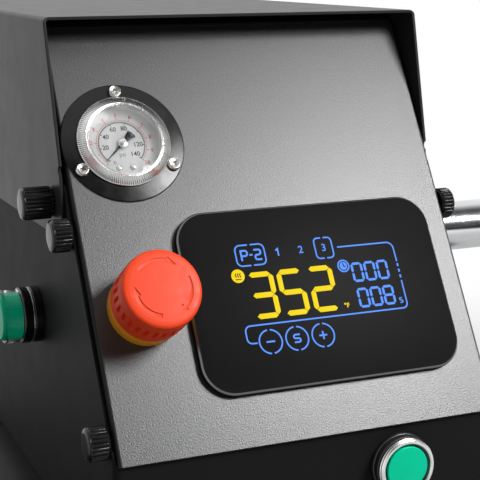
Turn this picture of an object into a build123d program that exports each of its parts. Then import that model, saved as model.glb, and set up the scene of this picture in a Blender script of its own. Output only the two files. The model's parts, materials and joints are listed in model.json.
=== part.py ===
from build123d import *
from math import asin, cos, degrees, radians, sin
import os

# Pneumatic heat press, swing-away type. Millimetres, +Z up, +Y to the rear, +X to the operator's right.
# The origin lies on the bench, under the middle of the machine.

# Driving dimensions: stand
foot_height = 20.0
foot_radius = 22.0
foot_x = 190.0
foot_inset = 60.0
base_width = 440.0
base_front_y = -307.0
base_rear_y = 290.0
base_plate_thickness = 12.0
front_plate_depth = 120.0
rear_plate_depth = 170.0
bench_hole_radius = 5.5
bench_hole_x = 205.0
bench_hole_y = 270.0
rail_x = 130.0
rail_width = 60.0
rail_height = 40.0
rail_wall = 3.0
rail_inset = 15.0

# Driving dimensions: column, its bearing and the swing stop
column_y = 193.0
column_radius = 45.0
column_flange_radius = 80.0
column_flange_thickness = 18.0
journal_radius = 30.0
running_clearance = 0.05
assembly_clearance = 0.1
face_gap = 0.3
bush_wall = 4.0
bush_flange_thickness = 3.0
bush_flange_radius = 42.0
bush_length = 30.0
bearing_housing_radius = 52.0
bearing_housing_height = 110.0
bearing_flange_radius = 60.0
bearing_drop = 12.0
stud_radius = 15.0
nut_height = 18.0
nut_across_flats = 46.0
washer_thickness = 4.0
column_bolt_radius = 6.0
column_bolt_ring = 64.0
column_bolt_head = 7.5
stop_pin_radius = 4.5
stop_pin_ring = 53.0
stop_collar_height = 18.0
stop_collar_gap = 8.0
swing_angle = 90.0
swing_start_angle = 45.0

# Driving dimensions: lower platen
pedestal_height = 143.0
pedestal_box = 140.0
pedestal_wall = 8.0
pedestal_flange = 10.0
pedestal_foot_depth = 190.0
pedestal_top_overhang_x = 60.0
pedestal_top_overhang_y = 50.0
gusset_reach = 50.0
gusset_drop = 70.0
lower_platen_thickness = 25.0
pad_thickness = 8.0
pad_inset = 4.0

# Driving dimensions: heated platen and what carries it
throat = 275.0
platen_width = 500.0
platen_depth = 400.0
platen_thickness = 28.0
platen_corner = 18.0
press_gap = 45.0
press_stroke = 44.5
insulation_thickness = 20.0
cover_sheet = 1.5
cover_margin = 6.0
cover_height = 39.0
cover_lift = 6.0
hub_plate_thickness = 12.0
hub_plate_width = 280.0
hub_plate_depth = 240.0
hub_rib_height = 10.0
hub_leg_radius = 11.0
hub_leg_inset = 22.0
head_clearance = 28.0

# Driving dimensions: air cylinder and guides
cylinder_wall = 7.0
cylinder_gap = 5.0
cylinder_height = 90.0
cylinder_corner = 12.0
cylinder_cap_thickness = 15.0
tie_rod_radius = 5.0
tie_rod_inset = 11.0
tie_rod_end = 11.0
tie_nut_flats = 16.0
tie_nut_height = 8.0
elbow_radius = 9.0
elbow_height = 14.0
elbow_x = 20.0
piston_thickness = 20.0
rod_radius = 12.5
rod_thread_radius = 8.0
guide_gap = 4.0
guide_top_height = 136.0
guide_bush_radius = 18.0
guide_bush_flange = 24.0
guide_bush_height = 33.0

# Driving dimensions: swing arm
arm_half_width = 72.0
arm_plate_thickness = 15.0
arm_rib_thickness = 10.0
arm_rib_height = 68.0
arm_front_margin = 1.0
arm_bridge_thickness = 10.0

# Driving dimensions: control head
face_reach = 190.0
head_tail = 65.0
panel_foot_height = 60.0
panel_slope = 58.8
panel_width = 195.0
panel_length = 219.0
panel_sheet = 2.0
panel_bend = 2.2
panel_flange = 15.0
panel_fold_rise = 6.2
panel_fold_depth = 9.0
case_front_setback = 2.4
case_sheet = 1.5
case_side_gap = 0.4
case_bend = 4.0
case_side_top = 175.0
case_edge_setback = 2.6
case_floor_flange = 35.4
hood_sheet = 1.6
hood_side_gap = 0.4
hood_bend = 3.0
hood_height = 252.8
hood_nose = 95.5
wing_root_height = 100.5
wing_root_reach = 71.4
wing_notch_height = 122.0
wing_notch_reach = 73.4
wing_notch_radius = 2.2
hood_skirt_front = 88.7
hood_skirt_rear = 80.0
rear_sheet = 1.5
rear_flange = 14.0

# Driving dimensions: instruments on the panel, measured across from the middle and up the slope
display_x = 15.95
display_v = 69.6
display_width = 135.7
display_depth = 90.8
display_corner = 15.6
display_thickness = 4.0
display_window_margin = 16.0
gauge_x = -67.55
gauge_v = 155.0
gauge_flange_radius = 30.9
gauge_flange_thickness = 1.5
gauge_body_radius = 20.3
gauge_body_wall = 1.1
gauge_body_depth = 24.0
gauge_rim_height = 2.4
gauge_bezel_radius = 23.4
gauge_opening_radius = 18.1
gauge_bezel_height = 5.4
gauge_dial_depth = 1.2
gauge_screw_ring = 26.5
gauge_screw_radius = 1.5
gauge_screw_head = 2.9
gauge_spindle_radius = 0.8
estop_x = -72.4
estop_v = 71.4
estop_collar_radius = 20.5
estop_collar_height = 11.4
estop_head_radius = 20.0
estop_head_height = 31.6
estop_skirt_radius = 18.9
estop_travel = 4.5
estop_notches = 30
switch_barrel_radius = 11.0
switch_barrel_depth = 14.0
switch_stem_radius = 6.0
contact_block_side = 28.0
contact_block_gap = 2.4

# Driving dimensions: the two start buttons
start_x = 44.6
start_drop = 19.0
start_radius = 15.4
start_height = 9.8
start_well_radius = 11.1
start_lens_height = 9.4
button_travel = 3.4
side_button_reach = 134.0
side_button_rise = 37.0
side_collar_radius = 14.7
side_collar_height = 10.6
side_guard_radius = 14.2
side_guard_wall = 1.6
side_guard_height = 19.4
side_lens_height = 21.4

# Driving dimensions: thumb screws
knob_radius = 8.0
knob_height = 10.4
knob_ribs = 30
knob_shank_radius = 2.5
knob_shank_length = 8.0
knob_boss_radius = 4.6
knob_boss_length = 5.0
panel_knob_depth = 7.2
panel_knob_v = (13.6, 113.0)
hood_knob_reach = 90.0
hood_knob_rise = 104.5

# Driving dimensions: swing handle
bar_radius = 15.0
bar_wall = 1.8
bar_reach_y = 160.0
bar_rise = 57.3
bar_straight_end = 195.0
bar_bend = 40.0
grip_radius = 17.2
grip_length = 105.0
socket_radius = 26.0
socket_flange = 4.0
socket_length = 20.0
socket_wall = 4.0

# Driving dimensions: rear of the head
regulator_x = 45.0
regulator_size = 46.0
regulator_height = 44.0
regulator_rise = 118.0
bracket_thickness = 3.0
bowl_radius = 18.5
bowl_length = 58.0
regulator_knob_radius = 17.0
regulator_knob_height = 30.0
regulator_spindle_radius = 4.0
regulator_spindle_length = 14.0
inlet_bore_radius = 4.05
inlet_length = 14.0
mains_x = -45.0
mains_rise = 72.0
mains_width = 50.0
mains_height = 64.0
mains_plate = 2.5
socket_hole_width = 24.6
socket_hole_height = 16.6
socket_depth = 16.0
rocker_width = 21.0
rocker_length = 19.0
rocker_tilt = 11.0
vent_slot_length = 42.0
vent_slot_width = 4.0
vent_slots = 7

# Driving dimensions: valve behind the cylinder
valve_half_length = 32.0
valve_depth = 28.0
valve_height = 30.0
valve_setback = 5.0
coil_length = 26.0
coil_depth = 24.0
coil_height = 28.0
valve_port_radius = 6.0
valve_port_height = 10.0
valve_port_x = (10.0, 24.0)

# Levels and places that follow from the driving dimensions
platen_y = column_y - throat
base_top = foot_height + base_plate_thickness
rail_top = base_top + rail_height
pedestal_top = rail_top + pedestal_height
lower_platen_top = pedestal_top + lower_platen_thickness
pad_top = lower_platen_top + pad_thickness
platen_bottom = pad_top + press_gap
platen_top = platen_bottom + platen_thickness
cover_top = platen_top + cover_height
hub_top = cover_top + hub_plate_thickness
head_floor = hub_top + head_clearance
arm_bottom = head_floor + case_sheet
arm_top = arm_bottom + arm_plate_thickness
housing_bottom = head_floor - bearing_drop
shoulder_height = housing_bottom - bush_flange_thickness
housing_top = housing_bottom + bearing_housing_height
bearing_top = housing_top + bush_flange_thickness
journal_bore = journal_radius + running_clearance
bush_radius = journal_bore + bush_wall
cylinder_side = 2 * (arm_half_width - arm_rib_thickness - cylinder_gap)
cylinder_bore = cylinder_side / 2 - cylinder_wall
tie_rod_offset = cylinder_side / 2 - tie_rod_inset
guide_offset = cylinder_side / 2 + guide_bush_flange + guide_gap
arm_front_reach = guide_offset + guide_bush_flange + arm_front_margin
barrel_top = arm_top + cylinder_height
piston_top = barrel_top - piston_thickness / 4
panel_foot_y = platen_y - face_reach
panel_foot_z = head_floor + panel_foot_height
case_front_y = panel_foot_y + case_front_setback
head_rear_y = column_y + head_tail
case_inner = panel_width / 2 + case_side_gap
case_outer = case_inner + case_sheet
contact_block_depth = case_outer - switch_barrel_depth - cylinder_side / 2 - contact_block_gap
hood_inner = case_outer + hood_side_gap
hood_outer = hood_inner + hood_sheet
hood_top = head_floor + hood_height
slope_cos = cos(radians(panel_slope))
slope_sin = sin(radians(panel_slope))
bar_y = panel_foot_y + bar_reach_y
bar_z = panel_foot_z + bar_rise
side_button_y = panel_foot_y + side_button_reach
side_button_z = panel_foot_z + side_button_rise
start_z = panel_foot_z - start_drop
hood_knob_y = panel_foot_y + hood_knob_reach
hood_knob_z = panel_foot_z + hood_knob_rise

panel_plane = Plane(origin=(0, panel_foot_y, panel_foot_z), x_dir=(1, 0, 0), z_dir=(0, -slope_sin, slope_cos))
front_plane = Plane(origin=(0, case_front_y, 0), x_dir=(1, 0, 0), z_dir=(0, -1, 0))
rear_plane = Plane(origin=(0, head_rear_y, 0), x_dir=(-1, 0, 0), z_dir=(0, 1, 0))


def side_plane(side, distance):
    # plane of a side wall: x to one side of the machine, height up, pointing outward
    return Plane(origin=(side * distance, 0, 0), x_dir=(0, side, 0), z_dir=(side, 0, 0))


def block(x_low, x_high, y_low, y_high, z_low, z_high):
    size = (x_high - x_low, y_high - y_low, z_high - z_low)
    middle = ((x_low + x_high) / 2, (y_low + y_high) / 2, (z_low + z_high) / 2)
    return Pos(*middle) * Box(*size)


def upright(radius, z_low, z_high, x=0.0, y=0.0):
    return Pos(x, y, (z_low + z_high) / 2) * Cylinder(radius, z_high - z_low)


def drum(plane, x, y, radius, low, high):
    # round bar that stands on a plane, from one height above it to another
    return plane * Pos(x, y, (low + high) / 2) * Cylinder(radius, high - low)


def brick(plane, x, y, width, depth, low, high):
    return plane * Pos(x, y, (low + high) / 2) * Box(width, depth, high - low)


def turned(profile, rounds=()):
    # solid of revolution about Z from (radius, height) corners, some of them rounded
    face = make_face(Polyline(*[(radius, 0, height) for radius, height in profile], close=True))
    for (radius, height), rounding in rounds:
        corner = face.vertices().sort_by_distance((radius, 0, height))[0]
        face = fillet(corner, rounding)
    return revolve(face, Axis.Z)


def rounded_plate(width, depth, corner, z_low, z_high, x=0.0, y=0.0):
    return Pos(x, y, z_low) * extrude(RectangleRounded(width, depth, corner), z_high - z_low)


def side_prism(outline, half_width):
    # the outline lies in the machine's side view as (y, z) points and is as wide as the machine
    face = make_face(Polyline(*[(-half_width, y, z) for y, z in outline], close=True))
    return extrude(face, amount=2 * half_width, dir=(1, 0, 0))


def base_plate(y_low, y_high):
    depth = y_high - y_low
    plate = rounded_plate(base_width, depth, 12, foot_height, base_top, 0, (y_low + y_high) / 2)
    hole_y = -bench_hole_y if y_low < 0 else bench_hole_y
    for side in (-1, 1):
        plate -= upright(bench_hole_radius, foot_height - 1, base_top + 1, side * bench_hole_x, hole_y)
    return plate


def column_bolt_places():
    for turn in range(4):
        angle = radians(45 + 90 * turn)
        yield column_bolt_ring * cos(angle), column_y + column_bolt_ring * sin(angle)


def rear_base_plate():
    plate = base_plate(base_rear_y - rear_plate_depth, base_rear_y)
    for x, y in column_bolt_places():
        plate -= upright(column_bolt_radius + assembly_clearance, foot_height - 1, base_top + 1, x, y)
    return plate


def rail(side):
    y_low = base_front_y + rail_inset
    y_high = base_rear_y - rail_inset
    profile = RectangleRounded(rail_width, rail_height, 6)
    profile -= RectangleRounded(rail_width - 2 * rail_wall, rail_height - 2 * rail_wall, 3)
    start = Plane(origin=(side * rail_x, y_high, base_top + rail_height / 2), x_dir=(1, 0, 0), z_dir=(0, -1, 0))
    return extrude(start * profile, amount=y_high - y_low)


def rubber_feet():
    profile = [(0, 0), (foot_radius - 3, 0), (foot_radius, foot_height), (0, foot_height)]
    foot = turned(profile, [((foot_radius - 3, 0), 2)])
    front = base_front_y + front_plate_depth - foot_inset / 2
    rear = base_rear_y - rear_plate_depth + foot_inset / 2
    return [Pos(side * foot_x, y, 0) * foot for side in (-1, 1) for y in (front, rear)]


def swing_column():
    flange_top = base_top + column_flange_thickness
    stud_top = bearing_top + face_gap + nut_height + washer_thickness + 3
    profile = [(0, base_top), (column_flange_radius, base_top), (column_flange_radius, flange_top),
               (column_radius + 8, flange_top), (column_radius, flange_top + 8),
               (column_radius, shoulder_height), (journal_radius, shoulder_height),
               (journal_radius, bearing_top + face_gap), (stud_radius, bearing_top + face_gap),
               (stud_radius, stud_top), (0, stud_top)]
    column = Pos(0, column_y, 0) * turned(profile)
    for x, y in column_bolt_places():
        column -= upright(column_bolt_radius + assembly_clearance, base_top - 1, flange_top + 1, x, y)
    return column


def hexagon_nut(across_flats, height):
    return extrude(RegularPolygon(across_flats / 2, 6, major_radius=False), height)


def column_bolts():
    head_low = base_top + column_flange_thickness
    bolts = []
    for x, y in column_bolt_places():
        bolt = Pos(x, y, head_low) * hexagon_nut(3 * column_bolt_radius, column_bolt_head)
        bolts.append(bolt + upright(column_bolt_radius, foot_height + 1, head_low, x, y))
    return bolts


def column_nut():
    low = bearing_top + face_gap
    nut = upright(bush_flange_radius, low, low + washer_thickness, 0, column_y)
    nut += Pos(0, column_y, low + washer_thickness) * hexagon_nut(nut_across_flats, nut_height)
    return nut - upright(stud_radius + assembly_clearance, low - 1, low + 40, 0, column_y)


def stop_collar():
    top = housing_bottom - stop_collar_gap
    low = top - stop_collar_height
    ring = upright(bearing_flange_radius, low, top) - upright(column_radius + assembly_clearance, low - 1, top + 1)
    slack = degrees(asin((stop_pin_radius + face_gap) / stop_pin_ring))
    inner = stop_pin_ring - stop_pin_radius - 1.2
    slot = make_face(Polyline((inner, 0, low - 1), (bearing_flange_radius + 1, 0, low - 1),
                              (bearing_flange_radius + 1, 0, top + 1), (inner, 0, top + 1), close=True))
    slot = revolve(slot, Axis.Z, revolution_arc=swing_angle + 2 * slack)
    ring -= Rot(0, 0, swing_start_angle - slack) * slot
    return Pos(0, column_y, 0) * ring


def pedestal():
    half = pedestal_box / 2
    foot_half = rail_x + rail_width / 2
    foot_front = platen_y - pedestal_foot_depth / 2
    foot_rear = platen_y + pedestal_foot_depth / 2
    body = block(-foot_half, foot_half, foot_front, foot_rear, rail_top, rail_top + pedestal_flange)
    top_low = pedestal_top - pedestal_flange
    top_width = 2 * (half + pedestal_top_overhang_x)
    top_depth = 2 * (half + pedestal_top_overhang_y)
    body += rounded_plate(top_width, top_depth, 15, top_low, pedestal_top, 0, platen_y)
    body += block(-half, half, platen_y - half, platen_y + half, rail_top + pedestal_flange, top_low)
    inner = half - pedestal_wall
    body -= block(-inner, inner, platen_y - inner, platen_y + inner, rail_top + pedestal_flange, top_low)
    # a gusset plate on each side, between the box and the top flange
    gusset_y = platen_y - pedestal_flange / 2
    for side in (-1, 1):
        corner = side * half
        reach = side * (half + gusset_reach)
        gusset = make_face(Polyline((corner, gusset_y, top_low), (reach, gusset_y, top_low),
                                    (corner, gusset_y, top_low - gusset_drop), close=True))
        body += extrude(gusset, amount=pedestal_flange, dir=(0, 1, 0))
    return body


def lower_platen():
    plate = rounded_plate(platen_width, platen_depth, platen_corner, pedestal_top, lower_platen_top, 0, platen_y)
    edge = plate.faces().sort_by(Axis.Z)[-1].edges()
    return chamfer(edge, 1.5)


def silicone_pad():
    width = platen_width - 2 * pad_inset
    depth = platen_depth - 2 * pad_inset
    return rounded_plate(width, depth, platen_corner - pad_inset, lower_platen_top, pad_top, 0, platen_y)


def heat_platen():
    plate = rounded_plate(platen_width, platen_depth, platen_corner, platen_bottom, platen_top, 0, platen_y)
    edge = plate.faces().sort_by(Axis.Z)[0].edges()
    return chamfer(edge, 2)


def hub_leg_places():
    for side in (-1, 1):
        for end in (-1, 1):
            x = side * (hub_plate_width / 2 - hub_leg_inset)
            yield x, platen_y + end * (hub_plate_depth / 2 - hub_leg_inset)


def insulation_blanket():
    low = platen_top
    high = low + insulation_thickness
    blanket = rounded_plate(platen_width - 12, platen_depth - 12, platen_corner - 6, low, high, 0, platen_y)
    for x, y in hub_leg_places():
        blanket -= upright(hub_leg_radius + 1, low - 1, high + 1, x, y)
    return blanket


def platen_cover():
    width = platen_width + 2 * cover_margin
    depth = platen_depth + 2 * cover_margin
    low = platen_bottom + cover_lift
    corner = platen_corner + cover_margin
    shell = rounded_plate(width, depth, corner, low, cover_top, 0, platen_y)
    shell = fillet(shell.faces().sort_by(Axis.Z)[-1].edges(), 5)
    inside = rounded_plate(width - 2 * cover_sheet, depth - 2 * cover_sheet, corner - cover_sheet,
                           low - 1, cover_top - cover_sheet, 0, platen_y)
    inside = fillet(inside.faces().sort_by(Axis.Z)[-1].edges(), 5 - cover_sheet)
    shell -= inside
    for x, y in hub_leg_places():
        shell -= upright(hub_leg_radius + 1, cover_top - 5, cover_top + 1, x, y)
    # a row of cooling slots in each side skirt
    slot_z = cover_top - 14
    for side in (-1, 1):
        wall = side_plane(side, width / 2)
        for count in range(6):
            y = platen_y + (count - 2.5) * 50
            shell -= brick(wall, side * y, slot_z, 32, 4, -4, 1)
    return shell


def hub_plate():
    plate = rounded_plate(hub_plate_width, hub_plate_depth, 24, cover_top, hub_top, 0, platen_y)
    # two stiffening ribs beside the rods, and the legs that stand on the heated platen
    for side in (-1, 1):
        x = side * 50
        plate += block(x - 5, x + 5, platen_y - 100, platen_y + 100, hub_top, hub_top + hub_rib_height)
    for x, y in hub_leg_places():
        plate += upright(hub_leg_radius, platen_top, cover_top, x, y)
    for y in (platen_y - guide_offset, platen_y, platen_y + guide_offset):
        plate -= upright(rod_thread_radius + assembly_clearance, cover_top - 1, hub_top + 1, 0, y)
    return plate


def piston_rod():
    piston_low = piston_top - piston_thickness
    profile = [(0, cover_top + 1), (rod_thread_radius, cover_top + 1), (rod_thread_radius, hub_top),
               (rod_radius, hub_top), (rod_radius, piston_low),
               (cylinder_bore - running_clearance, piston_low), (cylinder_bore - running_clearance, piston_top),
               (0, piston_top)]
    return Pos(0, platen_y, 0) * turned(profile)


def guide_rods():
    top = head_floor + guide_top_height
    profile = [(0, cover_top + 1), (rod_thread_radius, cover_top + 1), (rod_thread_radius, hub_top),
               (rod_radius, hub_top), (rod_radius, top - 1.5), (rod_radius - 1.5, top), (0, top)]
    rod = turned(profile)
    return [Pos(0, platen_y + end * guide_offset, 0) * rod for end in (-1, 1)]


def swing_arm():
    front = platen_y - arm_front_reach
    barrel_rear = platen_y + cylinder_side / 2
    plate = block(-arm_half_width, arm_half_width, front, column_y, arm_bottom, arm_top)
    arm = fillet(plate.edges().filter_by(Axis.Z).group_by(Axis.Y)[0], 20)
    rib_inner = arm_half_width - arm_rib_thickness
    rib_front = platen_y - cylinder_side / 2
    for side in (-1, 1):
        outline = [(rib_front, arm_top), (column_y, arm_top), (column_y, arm_top + arm_rib_height),
                   (barrel_rear, arm_top + arm_rib_height), (rib_front, arm_top + arm_rib_height / 3)]
        rib = make_face(Polyline(*[(side * rib_inner, y, z) for y, z in outline], close=True))
        arm += extrude(rib, amount=arm_rib_thickness, dir=(side, 0, 0))
    bridge_top = arm_top + arm_rib_height
    bridge_front = platen_y + guide_offset + guide_bush_flange + 6
    arm += block(-rib_inner, rib_inner, bridge_front, column_y, bridge_top - arm_bridge_thickness, bridge_top)
    arm -= upright(bearing_housing_radius - 1, arm_bottom - 1, bridge_top + 1, 0, column_y)
    arm -= block(-arm_half_width - 1, arm_half_width + 1, column_y, column_y + 60, arm_bottom - 1, bridge_top + 1)
    housing = upright(bearing_housing_radius, housing_bottom, housing_top, 0, column_y)
    housing += upright(bearing_flange_radius, housing_bottom, arm_bottom, 0, column_y)
    arm += housing
    arm -= upright(bush_radius + assembly_clearance / 2, housing_bottom - 1, housing_top + 1, 0, column_y)
    # stop pin under the bearing flange
    angle = radians(swing_start_angle)
    pin_x = stop_pin_ring * cos(angle)
    pin_y = column_y + stop_pin_ring * sin(angle)
    pin_low = housing_bottom - stop_collar_gap - stop_collar_height + 4
    arm += upright(stop_pin_radius, pin_low, housing_bottom, pin_x, pin_y)
    # holes for the rods, the guide bushes and the tie rods
    arm -= upright(rod_radius + running_clearance, arm_bottom - 1, arm_top + 1, 0, platen_y)
    for end in (-1, 1):
        hole = guide_bush_radius + assembly_clearance
        arm -= upright(hole, arm_bottom - 1, arm_top + 1, 0, platen_y + end * guide_offset)
    for x, y in tie_rod_places():
        arm -= upright(tie_rod_radius + assembly_clearance, arm_bottom - 1, arm_top + 1, x, y)
    return arm


def tie_rod_places():
    for side in (-1, 1):
        for end in (-1, 1):
            yield side * tie_rod_offset, platen_y + end * tie_rod_offset


def swing_bushes():
    bushes = []
    for flange_low, sleeve in ((shoulder_height, (housing_bottom, housing_bottom + bush_length)),
                               (housing_top, (housing_top - bush_length, housing_top))):
        bush = upright(bush_flange_radius, flange_low, flange_low + bush_flange_thickness)
        bush += upright(bush_radius, *sleeve)
        bush -= upright(journal_bore, shoulder_height - 1, bearing_top + 1)
        bushes.append(Pos(0, column_y, 0) * bush)
    return bushes


def cylinder_barrel():
    barrel = rounded_plate(cylinder_side, cylinder_side, cylinder_corner, arm_top, barrel_top, 0, platen_y)
    barrel -= upright(cylinder_bore, arm_top - 1, barrel_top + 1, 0, platen_y)
    for x, y in tie_rod_places():
        barrel -= upright(tie_rod_radius + assembly_clearance, arm_top - 1, barrel_top + 1, x, y)
    return barrel


def cylinder_cap():
    top = barrel_top + cylinder_cap_thickness
    cap = rounded_plate(cylinder_side, cylinder_side, cylinder_corner, barrel_top, top, 0, platen_y)
    cap = chamfer(cap.faces().sort_by(Axis.Z)[-1].edges(), 2)
    for x, y in tie_rod_places():
        cap -= upright(tie_rod_radius + assembly_clearance, barrel_top - 1, top + 1, x, y)
    # elbow fitting for the air line
    cap += upright(elbow_radius, top, top + elbow_height, elbow_x, platen_y)
    return cap


def tie_rods():
    nut_low = barrel_top + cylinder_cap_thickness
    rods = []
    for x, y in tie_rod_places():
        rod = upright(tie_rod_radius, arm_bottom + 1, nut_low + tie_rod_end, x, y)
        rods.append(rod + Pos(x, y, nut_low) * hexagon_nut(tie_nut_flats, tie_nut_height))
    return rods


def guide_bushes():
    bushes = []
    for end in (-1, 1):
        y = platen_y + end * guide_offset
        bush = upright(guide_bush_radius, arm_bottom, arm_top + guide_bush_height, 0, y)
        bush += upright(guide_bush_flange, arm_top, arm_top + 7, 0, y)
        bushes.append(bush - upright(rod_radius + running_clearance, arm_bottom - 1, arm_top + 60, 0, y))
    return bushes


def case_outline():
    # side view of the lower case: floor, front, slanted edge under the panel, top and rear
    setback_y = panel_foot_y + case_edge_setback * slope_sin
    setback_z = panel_foot_z - case_edge_setback * slope_cos
    rise = (case_front_y - setback_y) * slope_sin / slope_cos
    front_top = setback_z + rise
    side_top = head_floor + case_side_top
    top_reach = setback_y + (side_top - setback_z) * slope_cos / slope_sin
    return [(case_front_y, head_floor), (case_front_y, front_top), (top_reach, side_top),
            (head_rear_y, side_top), (head_rear_y, head_floor)]


def head_case():
    outline = side_prism(case_outline(), case_outer)
    depth = head_rear_y - case_front_y
    middle = (head_rear_y + case_front_y) / 2
    top = head_floor + case_side_top
    # wrap of sheet round the front and both sides, with bent corners
    outer = block(-case_outer, case_outer, case_front_y, head_rear_y, head_floor, top)
    outer = fillet(outer.edges().filter_by(Axis.Z).group_by(Axis.Y)[0], case_bend)
    inner_front = case_front_y + case_sheet
    inner = block(-case_inner, case_inner, inner_front, head_rear_y + 1, head_floor - 1, top + 1)
    inner = fillet(inner.edges().filter_by(Axis.Z).group_by(Axis.Y)[0], case_bend - case_sheet)
    wrap = (outer - inner) & outline
    # floor flanges, folded in at the bottom
    floor = outer & block(-case_outer, case_outer, case_front_y, head_rear_y, head_floor, head_floor + case_sheet)
    hollow_half = case_outer - case_floor_flange - case_sheet
    floor -= block(-hollow_half, hollow_half, inner_front + case_floor_flange, head_rear_y + 1,
                   head_floor - 1, head_floor + case_sheet + 1)
    case = wrap + floor
    for side in (-1, 1):
        wall = side_plane(side, case_inner)
        # clinch nut for the hood's thumb screw
        case += drum(wall, side * hood_knob_y, hood_knob_z, knob_boss_radius, -knob_boss_length, 0)
        case -= drum(wall, side * hood_knob_y, hood_knob_z, knob_shank_radius + running_clearance,
                     -knob_boss_length - 1, case_sheet + 1)
        for y, z in panel_knob_places():
            case -= drum(wall, side * y, z, knob_shank_radius + 3 * assembly_clearance, -1, case_sheet + 1)
    case -= drum(front_plane, start_x, start_z, switch_barrel_radius + assembly_clearance, -case_sheet - 1, 1)
    left = side_plane(-1, case_outer)
    case -= drum(left, -side_button_y, side_button_z, switch_barrel_radius + assembly_clearance, -case_sheet - 1, 1)
    right = side_plane(1, case_outer)
    case -= drum(right, bar_y, bar_z, bar_radius - bar_wall, -case_sheet - 1, 1)
    return case


def hood_outline():
    # side view of the hood with its wings reaching down over the sides of the panel
    return [(panel_foot_y + hood_nose, hood_top),
            (panel_foot_y + wing_notch_reach, panel_foot_z + wing_notch_height),
            (panel_foot_y + wing_root_reach, panel_foot_z + wing_root_height),
            (panel_foot_y + wing_root_reach + 4.2, panel_foot_z + hood_skirt_front + 1.7),
            (panel_foot_y + wing_root_reach + 9.6, panel_foot_z + hood_skirt_front),
            (head_rear_y, panel_foot_z + hood_skirt_rear),
            (head_rear_y, hood_top)]


def hood():
    low = panel_foot_z + hood_skirt_rear - 1
    front = panel_foot_y + wing_root_reach - 5
    outer = block(-hood_outer, hood_outer, front, head_rear_y, low, hood_top)
    outer = fillet(outer.edges().filter_by(Axis.Y).group_by(Axis.Z)[-1], hood_bend)
    under = hood_top - hood_sheet
    inner = block(-hood_inner, hood_inner, front - 1, head_rear_y + 1, low - 1, under)
    inner = fillet(inner.edges().filter_by(Axis.Y).group_by(Axis.Z)[-1], hood_bend - hood_sheet)
    shell = (outer - inner) & side_prism(hood_outline(), hood_outer + 1)
    for side in (-1, 1):
        wall = side_plane(side, hood_outer)
        shell -= drum(wall, side * hood_knob_y, hood_knob_z, knob_shank_radius + 3 * assembly_clearance, -5, 1)
        # relief notch where the wing meets the panel's edge
        notch_y = panel_foot_y + wing_notch_reach
        notch_z = panel_foot_z + wing_notch_height
        shell -= drum(wall, side * notch_y, notch_z, wing_notch_radius, -5, 1)
    return shell


def panel_knob_places():
    for v in panel_knob_v:
        y = panel_foot_y + v * slope_cos + panel_knob_depth * slope_sin
        z = panel_foot_z + v * slope_sin - panel_knob_depth * slope_cos
        yield y, z


def control_panel():
    half = panel_width / 2
    length = panel_length
    plate = brick(panel_plane, 0, length / 2, panel_width, length, -panel_flange, 0)
    along_slope = Axis((0, 0, 0), (0, slope_cos, slope_sin))
    long_edges = plate.edges().filter_by(along_slope)
    top_edges = [edge for edge in long_edges if panel_plane.to_local_coords(edge.center()).Z > -1]
    plate = fillet(top_edges, panel_bend)
    inside = half - panel_sheet
    plate -= brick(panel_plane, 0, length / 2, 2 * inside, length + 2, -panel_flange - 1, -panel_sheet)
    # stiffening fold along the lower edge
    plate += brick(panel_plane, 0, panel_fold_rise, 2 * inside, panel_sheet, -panel_fold_depth, -panel_sheet)
    for side in (-1, 1):
        wall = side_plane(side, half)
        for y, z in panel_knob_places():
            plate += drum(wall, side * y, z, knob_boss_radius, -knob_boss_length - panel_sheet, -panel_sheet)
            plate -= drum(wall, side * y, z, knob_shank_radius + running_clearance, -20, 1)
    # cut-outs
    window_width = display_width - 2 * display_window_margin
    window_depth = display_depth - 2 * display_window_margin
    plate -= brick(panel_plane, display_x, display_v, window_width, window_depth, -panel_sheet - 1, 1)
    plate -= drum(panel_plane, estop_x, estop_v, switch_barrel_radius + assembly_clearance, -panel_sheet - 1, 1)
    body_hole = gauge_body_radius + assembly_clearance
    plate -= drum(panel_plane, gauge_x, gauge_v, body_hole, -panel_sheet - 1, 1)
    for x, v in gauge_screw_places():
        plate -= drum(panel_plane, x, v, gauge_screw_radius + assembly_clearance, -panel_sheet - 1, 1)
    # the folds stay clear of the case's front wall and its bent corners
    room_rear = case_front_y + case_bend + face_gap
    room = block(-half - 1, half + 1, panel_foot_y - 9, room_rear, head_floor, panel_foot_z + 2 * case_bend)
    below = brick(panel_plane, 0, 0, panel_width + 2, 4 * panel_flange, -4 * panel_flange, -panel_sheet)
    return plate - (room & below)


def display_glass():
    glass = extrude(RectangleRounded(display_width, display_depth, display_corner), display_thickness)
    glass = chamfer(glass.faces().sort_by(Axis.Z)[-1].edges(), 0.9)
    return panel_plane * Pos(display_x, display_v, 0) * glass


def display_board():
    back = -panel_sheet
    board_low = back - 8
    width = display_width - 2 * display_window_margin + 14
    depth = display_depth - 2 * display_window_margin + 14
    board = brick(panel_plane, display_x, display_v, width, depth, board_low - 1.6, board_low)
    module_width = display_width - 2 * display_window_margin - 2
    module_depth = display_depth - 2 * display_window_margin - 2
    board += brick(panel_plane, display_x, display_v, module_width, module_depth, board_low, -0.1)
    for side in (-1, 1):
        for end in (-1, 1):
            x = display_x + side * (width / 2 - 3.2)
            v = display_v + end * (depth / 2 - 3.2)
            board += drum(panel_plane, x, v, 2.5, board_low, back)
    return board


def gauge_screw_places():
    for angle in (90, 210, 330):
        x = gauge_x + gauge_screw_ring * cos(radians(angle))
        yield x, gauge_v + gauge_screw_ring * sin(radians(angle))


def on_gauge(shape):
    return panel_plane * Pos(gauge_x, gauge_v, 0) * shape


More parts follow.
